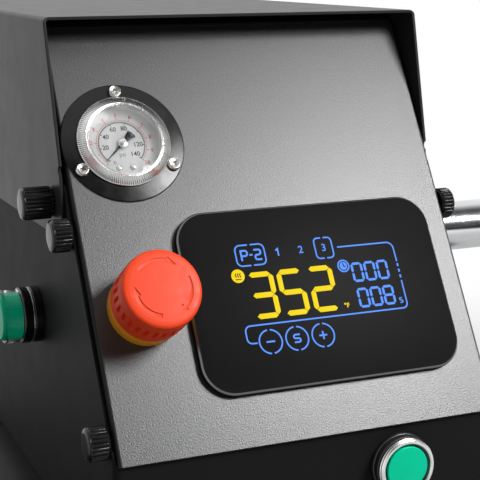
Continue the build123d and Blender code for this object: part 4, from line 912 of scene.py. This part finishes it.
def printScales(look):
    # an outer red scale and an inner black one with a pale green edge
    prints = {}
    for finish, (radius, width) in look["scaleArcs"].items():
        turns = [gaugeAngle(k / look["arcSteps"]) for k in range(look["arcSteps"] + 1)]
        prints[finish] = stroke([polar(radius, turn) for turn in turns], width)
    for finish, (count, every, inner, *kinds) in look["ticks"].items():
        for step in range(count + 1):
            far, width = kinds[0 if step % every == 0 else 1]
            turn = gaugeAngle(step / count)
            prints[finish] += stroke([polar(inner, turn), polar(far, turn)], width)
    parts = {finish: printed(outlines, *look["printing"]) for finish, outlines in prints.items()}
    radius, size, weight = look["outerFigure"]
    for value in range(1, look["outerTop"] + 1):
        spot = polar(radius, gaugeAngle(value / look["outerTop"]))
        parts["scaleRed"].append(letters(str(value), *spot, size, weight))
    weight = look["innerFigure"][2]
    for value in range(look["innerStep"], look["innerTop"] + 1, look["innerStep"]):
        radius, size = look["offRing"].get(value, look["innerFigure"][:2])
        spot = polar(radius, gaugeAngle(value / look["innerTop"]))
        parts["scaleBlack"].append(letters(str(value), *spot, size, weight))
    for finish, text, (radius, angle, size) in (("scaleBlack", "0", look["zero"]), ("scaleGreen", "psi", look["unit"])):
        parts[finish].append(letters(text, *polar(radius, radians(angle)), size))
    for finish, made in parts.items():
        addPiece("gauge" + finish[0].upper() + finish[1:], joined(made), finish, onGauge @ at(*look["scalePlace"]))


def makeGauge(look):
    addTurned("gaugeFlange", look["flange"], "flange", onGauge, ["gauge_case"], 128)
    addTurned("gaugeCan", look["can"], "gloss", onGauge, steps=64)

    def serrate(angle, radius, height):
        # fine radial grooves down the outer slope of the bezel
        if look["toothStart"] < radius < look["toothEnd"] and height > look["toothFoot"]:
            share = min(1, (radius - look["toothStart"]) / look["toothRise"])
            height -= look["toothDepth"] * share * (0.5 - 0.5 * cos(angle * look["teeth"])) ** 2
        return radius, height

    addTurned("gaugeBezel", look["bezel"], "bezel", onGauge, ["gauge_bezel"], look["teeth"] * 6, shape=serrate, ease=3)
    # a dark ring just under the bezel's teeth pokes through their grooves as painted shade
    addTurned("gaugeGrooveShade", look["grooveShade"], "knob", onGauge, closed=True)
    addTurned("gaugeGlass", look["glass"], "clear", onGauge, ["gauge_lens"])
    addTurned("gaugeWall", look["wall"], "dial", onGauge)
    addTurned("gaugeFace", look["face"], "dial", onGauge, ["gauge_dial"])
    printScales(look)
    needle = cutSheet([eased(look["blade"], True)], *look["bladeSheet"])
    place = onGauge @ at(0, 0, 0, look["bladeTurn"])
    addPiece("gaugeNeedle", needle, "needle", place, ["gauge_needle"], "gauge_needle")
    addTurned("gaugeHub", look["hub"], "bezel", onGauge, steps=40, body="gauge_needle")
    for number, spot in enumerate(look["pins"]):
        addTurned("gaugePin" + str(number + 1), look["pin"], "bezel", onGauge @ at(*spot), steps=32)
    spots = [(*polar(look["screwRing"], radians(angle)), 0, turn) for angle, turn in look["screws"]]
    addScrews("gaugeScrews", look["screw"], spots, "screw", onGauge, ["gauge_screws"])


makeGauge(gauge)
print("gauge made")


# emergency stop: yellow collar, notched red head with three turning arrows

stopButton = {
    "middle": (-72.4, 71.4),
    "collar": [(8.1, -14), (11, -14, 0.4), (11, -8), (15, -8, 0.4), (15, -2.05), (11.05, -2.05), (11.05, 0),
               (17.9, 0, 0.2), (18.15, 0.4), (18.15, 8.6, 0.8), (17.6, 9.3, 0.3), (17.2, 9.3, 0.2), (17.2, 4.4),
               (8.1, 4.4)],
    "head": [(0, 22.3), (5.1, 22.3), (5.1, 15.0), (18.28, 15.0), (18.28, 9.6), (18.6, 9.6, 0.2), (18.8, 10.3, 0.4),
             (18.9, 15.4, 1.0), (18.9, 16.4), (18.9, 16.8), (18.9, 23.4), (18.85, 23.8), (18.7, 24.6, 1.0),
             (18.85, 27.6, 3.0), (18.3, 31.0, 2.6), (15.6, 31.35, 3.0), (12.0, 31.5), (8.0, 31.63), (4.0, 31.72),
             (1.5, 31.75), (0, 31.75)],  # hollow below, so that it passes over the collar
    "notches": 28, "notchWidth": 2.1, "notchLevels": (16.79, 23.41), "notchDepth": 1.5, "notchRim": 18,
    # each arrow is sunk into the crown: radii of its shaft and of its head, angles to its neck and tip
    "shaft": (12.0, 14.1), "arrowHead": (10.9, 15.2), "neck": 66, "tip": 86, "arrowSteps": 14,
    "arrowKnife": (3, 0.01, 31.05), "arrowTails": (138, 18, -102),  # thickness, edge and foot of what cuts it
}
onStop = panelPlane @ at(*stopButton["middle"])


def makeStopButton(look):
    addTurned("stopCollar", look["collar"], "yellow", onStop, ["estop_collar"], 112, closed=True)
    low, high = look["notchLevels"]
    pitch = 2 * pi / look["notches"]

    def notch(angle, radius, height):
        away = abs((angle + pitch / 2) % pitch - pitch / 2) * radius
        inside = radius > look["notchRim"] and low <= height <= high and away < look["notchWidth"] / 2
        return (radius - look["notchDepth"], height) if inside else (radius, height)

    head, knives = turned(look["head"], look["notches"] * 12, notch, ease=6), []
    (inner, outer), (wideIn, wideOut), neck = look["shaft"], look["arrowHead"], look["neck"]
    shaft = [neck * k / look["arrowSteps"] for k in range(look["arrowSteps"] + 1)]
    spots = [(inner, along) for along in shaft]
    spots += [(wideIn, neck), ((inner + outer) / 2, look["tip"]), (wideOut, neck)]
    spots += [(outer, along) for along in shaft[::-1]]
    for start in look["arrowTails"]:
        outline = [polar(radius, radians(start - along)) for radius, along in spots]
        knives.append(cutSheet([outline], *look["arrowKnife"]))
    addPiece("stopHead", cut(head, knives), "red", onStop, ["estop_head"], "estop_head")


makeStopButton(stopButton)
print("emergency stop made")


# start button on the front: steel bezel and a flat green lens

startButton = {
    "middle": (44.6, 441.0), "lower": 1.3,  # how far it sits under the solid's place
    "base": [(11.1, 0), (15.3, 0, 0.2), (15.4, 0.3), (15.4, 2.2, 0.4), (14.9, 2.6), (14.9, 5.6, 0.3), (14.5, 6.0),
             (11.1, 6.0)],
    "bezel": [(12.3, 6.0), (14.5, 6.0), (14.6, 6.3), (14.6, 7.6, 0.2), (14.2, 7.9), (14.2, 8.2), (14.6, 8.5, 0.2),
              (14.55, 9.1, 0.5), (13.9, 9.75, 0.5), (12.9, 9.8, 0.4), (12.45, 9.5, 0.2), (12.3, 8.9)],
    "cup": [(12.3, 8.4), (11.6, 8.4, 0.2), (11.4, 8.2), (11.4, 1.0), (6.1, 1.0), (6.1, -14), (11, -14, 0.4), (11, 3.2),
            (12.3, 3.3)],
    "lens": [(0, -10), (6, -10), (6, 4.6), (10.9, 4.6), (10.9, 8.9, 0.35), (10.5, 9.25, 0.3), (0, 9.4)],
}


def makeStartButton(look):
    place = frontPlane @ at(*look["middle"]) @ at(0, -look["lower"])
    addTurned("startBase", look["base"], "plastic", place, closed=True)
    addTurned("startBezel", look["bezel"], "bezel", place, ["start_bezel"], 112, closed=True)
    addTurned("startCup", look["cup"], "gloss", place, closed=True)
    addTurned("startLens", look["lens"], "green", place, ["start_lens"], body="start_lens")


makeStartButton(startButton)


# side button: black collar, clear guard and a ribbed lens that stands out of it

sideButton = {
    "middle": (138.0, 497.0),  # on the left wall, whose local x runs forward
    "collar": [(6.1, -14), (11, -14, 0.4), (11, 0), (14.5, 0, 0.2), (14.7, 0.3), (14.7, 4.5, 0.3), (14.1, 4.85),
               (13.95, 5.3), (14.1, 5.75), (14.7, 6.1, 0.3), (14.7, 10.1, 0.4), (14.2, 10.6, 0.2), (12.75, 10.6),
               (12.6, 10.4), (12.6, 6.0), (6.1, 6.0)],
    "ring": [(14.0, 4.9), (14.42, 5.05, 0.1), (14.42, 5.55, 0.1), (14.0, 5.7)],
    "guard": [(12.75, 10.6), (14.2, 10.6, 0.15), (14.2, 11.4, 0.3), (13.9, 11.9), (13.9, 17.8), (14.2, 18.3, 0.3),
              (14.2, 19.0, 0.35), (13.7, 19.4, 0.2), (12.6, 19.4, 0.2), (12.6, 10.9)],
    "lens": [(0, -10), (6, -10), (6, 10.8), (12.35, 10.8), (12.35, 20.2, 0.9), (11.3, 21.4, 0.6), (0, 21.4)],
    "ribs": 48, "ribDepth": 0.14, "ribFrom": 12.2,
}


def makeSideButton(look):
    place = leftWall @ at(*look["middle"])
    for name, key, finish, stands in (("sideCollar", "collar", "gloss", ["side_collar"]),
                                      ("sideRing", "ring", "bezel", []),
                                      ("sideGuard", "guard", "clearPlastic", ["side_guard"])):
        addTurned(name, look[key], finish, place, stands, 112, closed=True)

    def rib(angle, radius, height):
        wave = 0.5 + 0.5 * cos(angle * look["ribs"])
        return (radius - look["ribDepth"] * wave, height) if radius > look["ribFrom"] else (radius, height)

    addTurned("sideLens", look["lens"], "green", place, ["side_lens"], look["ribs"] * 4, "side_lens", shape=rib)


makeSideButton(sideButton)
print("buttons made")


# ribbed thumb screws

thumbScrew = {
    "ribs": 24, "ribDepth": 0.75, "ribFrom": (7.9, 1.2),  # radius and height past which the ribs run
    "longer": {"hood": {-1: 5.5, 1: -5.5}, "panel": {-1: 0, 1: -2.5}},  # than the solid, on the left and right side
    "foot": 5,  # height under which a longer knob stays the same
    "head": [(0, -8), (2.4, -8, 0.5), (2.4, 0.06), (6.8, 0.06, 0.2), (7.0, 0.6, 0.2), (7.6, 0.8, 0.2), (8.0, 1.3),
             (8.0, 8.3, 0.2), (7.75, 8.75, 0.2), (7.7, 8.9), (7.75, 9.1, 0.2), (7.0, 9.75, 0.5), (5.6, 10.15, 1.0),
             (0, 10.38)],
    "seats": {"hood_knob": (101.4, -182.0, 564.5), "panel_knob_upper": (99.4, -207.3, 552.93),
              "panel_knob_lower": (99.4, -258.8, 467.9)},  # distance from the middle, y, z
    "turnStep": 3.7,
}


def makeThumbScrews(look):
    def rib(angle, radius, height):
        if radius > look["ribFrom"][0] and height > look["ribFrom"][1]:
            radius -= look["ribDepth"] * (0.5 - 0.5 * cos(angle * look["ribs"])) ** 2
        return radius, height

    number = 0
    for kind, (seat, y, z) in look["seats"].items():
        for side, word in ((-1, "_left"), (1, "_right")):
            body, longer = kind + word, look["longer"][kind.split("_")[0]][side]
            profile = [(r, h + (longer if h > look["foot"] else 0), *ease) for r, h, *ease in look["head"]]
            place = plane((side * seat, y, z), (0, side, 0), (side, 0, 0)) @ at(0, 0, 0, number * look["turnStep"])
            addTurned(body + "_head", profile, "knob", place, [body], look["ribs"] * 10, body, shape=rib)
            number += 1


makeThumbScrews(thumbScrew)
print("thumb screws made")


# swing handle: bent chrome bar, socket on the case and a ribbed rubber grip

handle = {
    "barRadius": 15.0, "wall": 1.8, "start": 100.4, "height": 517.3, "y": -112.0,
    "bend": 40.0, "bendSteps": 30, "reach": 235.0, "end": -257.0,  # x of the grip's axis and y of its end
    "straight": (150, -200),  # x and y of a point on the straight lengths
    "socket": [(15.15, 0.0), (25.4, 0, 0.3), (26, 0.6), (26, 3.2, 0.7), (25.2, 4.0, 0.3), (20.6, 4.0, 1.4),
               (19, 6.2, 0.8), (19, 18.8, 1.0), (17.8, 20, 0.4), (15.15, 20)],
    "screw": (2.1, 1.5, 2.5, 3.9), "screwRing": 22.4, "screws": 3, "firstScrew": 0.5, "screwTurn": 30,
    "gripFoot": [(15.05, 0), (16.6, 0, 0.5), (17.9, 0.9, 0.8), (18.2, 2.2, 0.7), (17.6, 3.2, 0.5), (17.0, 3.8)],
    "gripEnd": [(17.0, 99.5, 4.0), (15.2, 103.2, 3.0), (11.0, 104, 2.0), (0, 104)],
    "gripStart": -156.0, "ribs": (8.0, 94.0, 3.0), "ribDepth": 0.55, "ribSteps": 230, "ribFrom": 16.9,
}


def sweep(path, radius, wall, sides=48):
    # hollow tube along a path of (x, y, z) points
    build, skins, up = bmesh.new(), [], Vector((0, 0, 1))
    for size in (radius, radius - wall):
        rings = []
        for k, point in enumerate(path):
            along = (Vector(path[min(k + 1, len(path) - 1)]) - Vector(path[max(k - 1, 0)])).normalized()
            side = along.cross(up).normalized()
            around = [side * cos(2 * pi * s / sides) + up * sin(2 * pi * s / sides) for s in range(sides)]
            rings.append([build.verts.new((Vector(point) + way * size) * mm) for way in around])
        skins.append(rings)
        loft(build, rings)
    for end in (0, -1):
        loft(build, [skins[0][end], skins[1][end]])
    bmesh.ops.recalc_face_normals(build, faces=build.faces)
    return finished(build, 40)


def makeHandle(look):
    z, y, bend, reach = look["height"], look["y"], look["bend"], look["reach"]
    path = [(look["start"], y, z), (look["straight"][0], y, z)]
    turns = [radians(90 * k / look["bendSteps"]) for k in range(look["bendSteps"] + 1)]
    path += [(reach - bend + bend * sin(turn), y - bend + bend * cos(turn), z) for turn in turns]
    path += [(reach, look["straight"][1], z), (reach, look["end"], z)]
    addPiece("handleBar", sweep(path, look["barRadius"], look["wall"]), "chrome", None, ["handle_bar"])
    onSocket = rightWall @ at(y, z)
    addTurned("handleSocket", look["socket"], "plastic", onSocket, ["handle_socket"], closed=True)
    turns = [2 * pi * k / look["screws"] + look["firstScrew"] for k in range(look["screws"])]
    spots = [(*polar(look["screwRing"], turn), 0, look["screwTurn"] * k) for k, turn in enumerate(turns)]
    addScrews("socketScrews", look["screw"], spots, place=onSocket)
    start, end, pitch = look["ribs"]

    def ribbed(angle, radius, height):
        if radius > look["ribFrom"] and start < height < end:
            radius -= look["ribDepth"] * (0.5 - 0.5 * cos(2 * pi * (height - start) / pitch)) ** 2
        return radius, height

    steps = look["ribSteps"]
    ribs = [(look["gripFoot"][-1][0], start + (end - start) * k / steps) for k in range(steps + 1)]
    place = plane((reach, look["gripStart"], z), (1, 0, 0), (0, -1, 0))
    profile = look["gripFoot"] + ribs + look["gripEnd"]
    addTurned("handleGrip", profile, "grip", place, ["handle_grip"], 64, shape=ribbed)


makeHandle(handle)
print("handle made")


# rear fittings: mains inlet with its switch, filter and pressure regulator

mains = {
    "middle": (45.0, 472.0),  # on the rear plane, whose local x runs to the left
    # a sheet is given by its thickness and its softened edge
    "plate": (50.0, 64.0, 4.0), "plateSheet": (2.5, 0.5), "body": (40.6, 54.6, 1.2), "bodySheet": (19.0, 0.2),
    "floor": (40.0, 54.0, 1), "floorSheet": (1.4, 0.1),
    "socket": (24.6, 16.6), "socketShift": -16.0, "socketCut": 4.5,  # its two lower corners are cut off
    "core": (0.8, 0.72), "coreSheet": (11, 0.5),  # shares of the socket's width and height
    "pins": [(0, 3.5), (-7, 4.7), (7, 4.7)], "pin": (2.0, 4.2, 0.3), "pinSheet": (15.0, 0.4, -15.5),
    "well": (22.0, 21.4, 0.8), "wellShift": 16.0,
    "screw": (2.6, 1.7, 4, 2.4), "screws": [(0, -29.3, 0, 20), (0, 29.3, 0, 70)],
    # rocker: two faces that meet in a shallow valley, seen from the side, with a line and a ring on them
    "rocker": [(-4.5, -8.9, 0.5), (2.6, -9.5, 0.9), (0.9, 0, 6.0), (2.6, 9.5, 0.9), (-4.5, 8.9, 0.5), (-5.2, 0)],
    "rockerSheet": (20.6, 0.5), "rockerTilt": 11.0, "markSheet": (0.06, 0.01), "markHeight": 1.72,
    "ringMark": (1.9, 0, -5.4, 28), "ringLine": 0.55, "lineMark": (0.6, 4.2, 0.2, 0, 5.4),
}


def makeMains(look):
    x, z = look["middle"]
    place = rearPlane @ at(x, z)
    shift, cutOff, (depth, edge) = look["socketShift"], look["socketCut"], look["bodySheet"]
    half, tall = (size / 2 for size in look["socket"])
    low, high = shift - tall, shift + tall
    socket = eased([(-half + cutOff, low, 1.0), (half - cutOff, low, 1.0), (half, low + cutOff, 1.0), (half, high, 1.6),
                    (-half, high, 1.6), (-half, low + cutOff, 1.0)], True)
    well = box2d(*look["well"], 0, look["wellShift"])
    plate = cutSheet([box2d(*look["plate"]), socket, well], *look["plateSheet"])
    addPiece("inletPlate", plate, "plastic", place, ["power_inlet"], even=True)
    body = cutSheet([box2d(*look["body"]), socket, well], depth, edge, -depth)
    addPiece("inletBody", body, "plastic", place, even=True)
    thick, edge = look["floorSheet"]
    addPiece("inletFloor", cutSheet([box2d(*look["floor"])], thick, edge, -depth + edge), "plastic", place)
    wide, narrow = look["core"]
    core = [(px * wide, shift + (py - shift) * narrow) for px, py in socket]
    addPiece("inletCore", cutSheet([core], *look["coreSheet"], -depth + thick), "plastic", place)
    foot = look["pins"][0][1]
    pins = [box2d(*look["pin"], px, shift + py - foot) for px, py in look["pins"]]
    parts = [(cutSheet([pin], *look["pinSheet"]), Matrix()) for pin in pins]
    addPiece("inletPins", joined(parts, 32), "zinc", place)
    addScrews("inletScrews", look["screw"], look["screws"], place=place)
    place = rearPlane @ at(x, z + look["wellShift"]) @ Matrix.Rotation(radians(-look["rockerTilt"]), 4, "X")
    wide, edge = look["rockerSheet"]
    rocker = cutSheet([eased(look["rocker"], True, 6)], wide, edge, -wide / 2)
    onSide = Matrix(((0, 0, 1), (0, 1, 0), (1, 0, 0))).to_4x4()
    addPiece("rockerSwitch", rocker, "gloss", place @ onSide, ["power_switch"], "power_switch", even=True)
    ring, height = stroke(circle2d(*look["ringMark"]), look["ringLine"], True), at(0, 0, look["markHeight"])
    marks = [(cutSheet(lines, *look["markSheet"]), height) for lines in (ring, [box2d(*look["lineMark"])])]
    addPiece("rockerMarks", joined(marks), "markWhite", place, body="power_switch")


makeMains(mains)

regulator = {
    "middle": (45.0, 284.0),  # world x and y of its axis
    "knob": [(12.2, 570.3), (16.2, 570.3, 0.3), (16.9, 571.0), (16.9, 575.4, 0.3), (16.5, 576.0), (16.9, 576.6, 0.3),
             (16.9, 597.6, 1.6), (15.0, 600.0, 0.8), (9.0, 600.3, 1.0), (8.2, 599.5, 0.5), (0, 599.5)],
    "grooves": 24, "grooveDepth": 0.8, "grooveFrom": 16.7, "grooveLevels": (576.5, 598.2),
    "collar": [(0, 562), (12.6, 562), (12.6, 563.5, 0.3), (11.6, 564.2), (11.6, 569.6, 0.3), (4.2, 570), (4.2, 584),
               (0, 584)],
    "bowl": [(0, 464.2), (15.2, 464.2, 4.0), (16.4, 470), (16.6, 517.6), (18.4, 517.8), (18.4, 469, 7.0),
             (13.6, 461.6, 3.0), (0, 461.4)],
    "guard": [(18.5, 503), (20.9, 503, 0.4), (20.9, 517.4, 0.6), (18.5, 517.9)],
    "windows": 6, "windowDepth": 0.5, "windowFrom": 20.5,
    "drain": [(0, 460.05), (3.4, 460.05, 0.4), (3.4, 461.6), (5.2, 462.0, 0.5), (5.2, 465.5), (0, 465.5)],
    "element": [(0, 480), (7.6, 480, 1.0), (7.6, 481.6, 0.3), (6.8, 482.0), (6.8, 512), (0, 512)],
}


def makeRegulator(look):
    place = at(*look["middle"])
    low, high = look["grooveLevels"]

    def grooved(angle, radius, height):
        if radius > look["grooveFrom"] and low < height < high:
            radius -= look["grooveDepth"] * (0.5 - 0.5 * cos(angle * look["grooves"])) ** 2
        return radius, height

    def windowed(angle, radius, height):
        if radius > look["windowFrom"]:
            radius -= look["windowDepth"] * max(0, cos(angle * look["windows"])) ** 3
        return radius, height

    name = "regulator_knob"
    addTurned("regulatorKnob", look["knob"], "plastic", place, [name], look["grooves"] * 8, name, shape=grooved)
    addTurned("regulatorCollar", look["collar"], "zinc", place, steps=64)
    addTurned("regulatorBowl", look["bowl"], "clearPlastic", place, ["regulator_bowl"], 72)
    addTurned("regulatorGuard", look["guard"], "plastic", place, shape=windowed, closed=True)
    addTurned("regulatorDrain", look["drain"], "bronze", place, steps=48)
    addTurned("filterElement", look["element"], "wool", place, steps=48)


makeRegulator(regulator)
print("rear fittings made")


# stand, platens, arm and cylinder: the frame's own solids with their sharp edges broken

softening = {
    "merge": 2e-6,  # metres within which points become one
    "flat": 0.6, "sharp": 34, "shade": 50,  # degrees: faces merged below, edges broken above, shading split above
    "segments": 2,
}


def soften(node, finish, width):
    build = bmesh.new()
    build.from_mesh(nodes[node].data)
    bmesh.ops.remove_doubles(build, verts=build.verts, dist=softening["merge"])
    flat = radians(softening["flat"])
    bmesh.ops.dissolve_limit(build, angle_limit=flat, verts=build.verts, edges=build.edges)
    mesh = finished(build, 0)
    obj = bpy.data.objects.new("work", mesh)
    scene.collection.objects.link(obj)
    step = obj.modifiers.new("break edges", "BEVEL")
    step.width, step.segments, step.use_clamp_overlap = width * mm, softening["segments"], True
    step.limit_method, step.angle_limit = "ANGLE", radians(softening["sharp"])
    result = bpy.data.meshes.new_from_object(obj.evaluated_get(bpy.context.evaluated_depsgraph_get()))
    bpy.data.objects.remove(obj)
    bpy.data.meshes.remove(mesh)
    first, *others = node.split("_")
    name = first + "".join(part.capitalize() for part in others) + "Piece"
    result.polygons.foreach_set("use_smooth", [True] * len(result.polygons))
    result.set_sharp_from_angle(angle=radians(softening["shade"]))
    addPiece(name, result, finish, None, [node], body_of(nodes[node])[0], even=True)


softened = {  # node: (finish, width of the broken edge)
    "base_plate_front": ("frame", 0.8), "base_plate_rear": ("frame", 0.8), "base_rail_left": ("frame", 1.2),
    "base_rail_right": ("frame", 1.2), "pedestal": ("frame", 0.9), "swing_arm": ("frame", 0.9),
    "swing_column": ("frame", 0.8), "platen_cover": ("powder", 1.2), "hub_plate": ("frame", 0.9),
    "heat_platen": ("coating", 0.8), "lower_platen": ("anodised", 0.8), "insulation_blanket": ("wool", 1.5),
    "stop_collar": ("steel", 0.6), "column_nut": ("zinc", 0.6), "column_bolts": ("zinc", 0.5),
    "tie_rods": ("zinc", 0.4), "cylinder_barrel": ("anodised", 0.7), "cylinder_cap": ("anodised", 0.7),
    "solenoid_valve": ("plastic", 0.8), "regulator_body": ("anodised", 0.7), "rubber_feet": ("rubber", 0.8),
    "contact_blocks": ("plastic", 0.6), "guide_bushes": ("bronze", 0.4), "swing_bushes": ("bronze", 0.4),
}
for node, (finish, width) in softened.items():
    soften(node, finish, width)
print("solid parts softened:", len(softened))


# cover screws: short pan heads round the rim of the platen's cover

coverScrews = {
    "screw": (3.6, 2.3, 4, 0), "top": 360.0, "across": (-236.0, -80.0, 80.0, 236.0), "along": (-268.0, -82.0, 104.0),
    "bare": {(-80.0, -82.0), (80.0, -82.0)},  # places under the head, without a screw
    "turn": (7, 3),  # degrees for each millimetre across and along
}


def makeCoverScrews(look):
    turnX, turnY = look["turn"]
    spots = [(x, y, look["top"], (x * turnX + y * turnY) % 90)
             for x in look["across"] for y in look["along"] if (x, y) not in look["bare"]]
    addScrews("coverScrews", look["screw"], spots, body="platen")


makeCoverScrews(coverScrews)


# welds of the stand and the column

welds = {
    "size": 1.984, "ripple": 1.6, "rippleDepth": 0.35, "sides": 10,
    "taper": (0.35, 0.25),  # share of the size at a bead's end, and how much each ring adds
    "level": 32.4, "across": (-160, -100, 100, 160), "along": ((-290, -189), (122, 273)),  # x, and y from and to
    "column": (45, 0, 193, 72), "underBolts": 7.5,  # ring: radius, x, y, steps; how far it lies under the bolts' top
}


def weldBead(path, look, closed=False):
    # rippled bead along a line of (x, y, z) points in the corner between two parts
    ripple, sides, up, points = look["ripple"], look["sides"], Vector((0, 0, 1)), []
    for start, end in zip(path, path[1:] + path[:1] if closed else path[1:]):
        start, end = Vector(start), Vector(end)
        count = max(2, int((end - start).length / (ripple / 3)))
        points += [start.lerp(end, k / count) for k in range(count)]
    if not closed:
        points.append(Vector(path[-1]))
    build, rings, travelled = bmesh.new(), [], 0.0
    for k, here in enumerate(points):
        before = points[k - 1] if closed or k else here
        after = points[(k + 1) % len(points)] if closed or k < len(points) - 1 else here
        side = (after - before).normalized().cross(up).normalized()
        travelled += (here - before).length if k else 0
        radius = look["size"] + look["rippleDepth"] * (cos(2 * pi * travelled / ripple) - 1) * 0.5
        first, added = look["taper"]
        radius *= 1.0 if closed else min(1, first + added * min(k, len(points) - 1 - k))
        around = [side * cos(2 * pi * s / sides) + up * sin(2 * pi * s / sides) for s in range(sides)]
        rings.append([build.verts.new((here + way * radius) * mm) for way in around])
    loft(build, rings, closed, caps=not closed)
    return finished(build, 60)


def makeWelds(look):
    z, beads = look["level"], []
    for x in look["across"]:
        beads += [(weldBead([(x, start, z), (x, end, z)], look), Matrix()) for start, end in look["along"]]
    addPiece("standWelds", joined(beads, 60), "frame", body="base")
    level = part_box("column_bolts")[1].z / mm - look["underBolts"]
    ring = [(x, y, level) for x, y in circle2d(*look["column"])]
    addPiece("columnWeld", weldBead(ring, look, True), "frame", body="base")


makeWelds(welds)


# silicone pad on the lower platen

pad = {
    "size": (492.0, 392.0, 14.0), "middle": (0.0, -82.0), "low": 240.0, "cornerSteps": 12,
    "levels": [(1.2, 0.0), (0.3, 0.5), (0.0, 1.6), (0.0, 6.0), (0.35, 7.2), (1.3, 7.85), (2.6, 8.0)],
}


def makePad(look):
    mesh = stackedPlate(*look["size"], look["levels"], look["cornerSteps"], *look["middle"])
    obj = addPiece("siliconePad", mesh, "silicone", at(0, 0, look["low"]), ["silicone_pad"], "base", even=True)


makePad(pad)
print("welds and pad made")


# the finish of each CAD node that stays visible

nodeFinish = {"piston_rod": "steel", "guide_rods": "steel", "display_board": "board", "estop_stem": "plastic"}
for name, finish in nodeFinish.items():
    slotList = nodes[name].material_slots
    if slotList:
        slotList[0].material = finishes[finish]
    else:
        nodes[name].data.materials.append(finishes[finish])
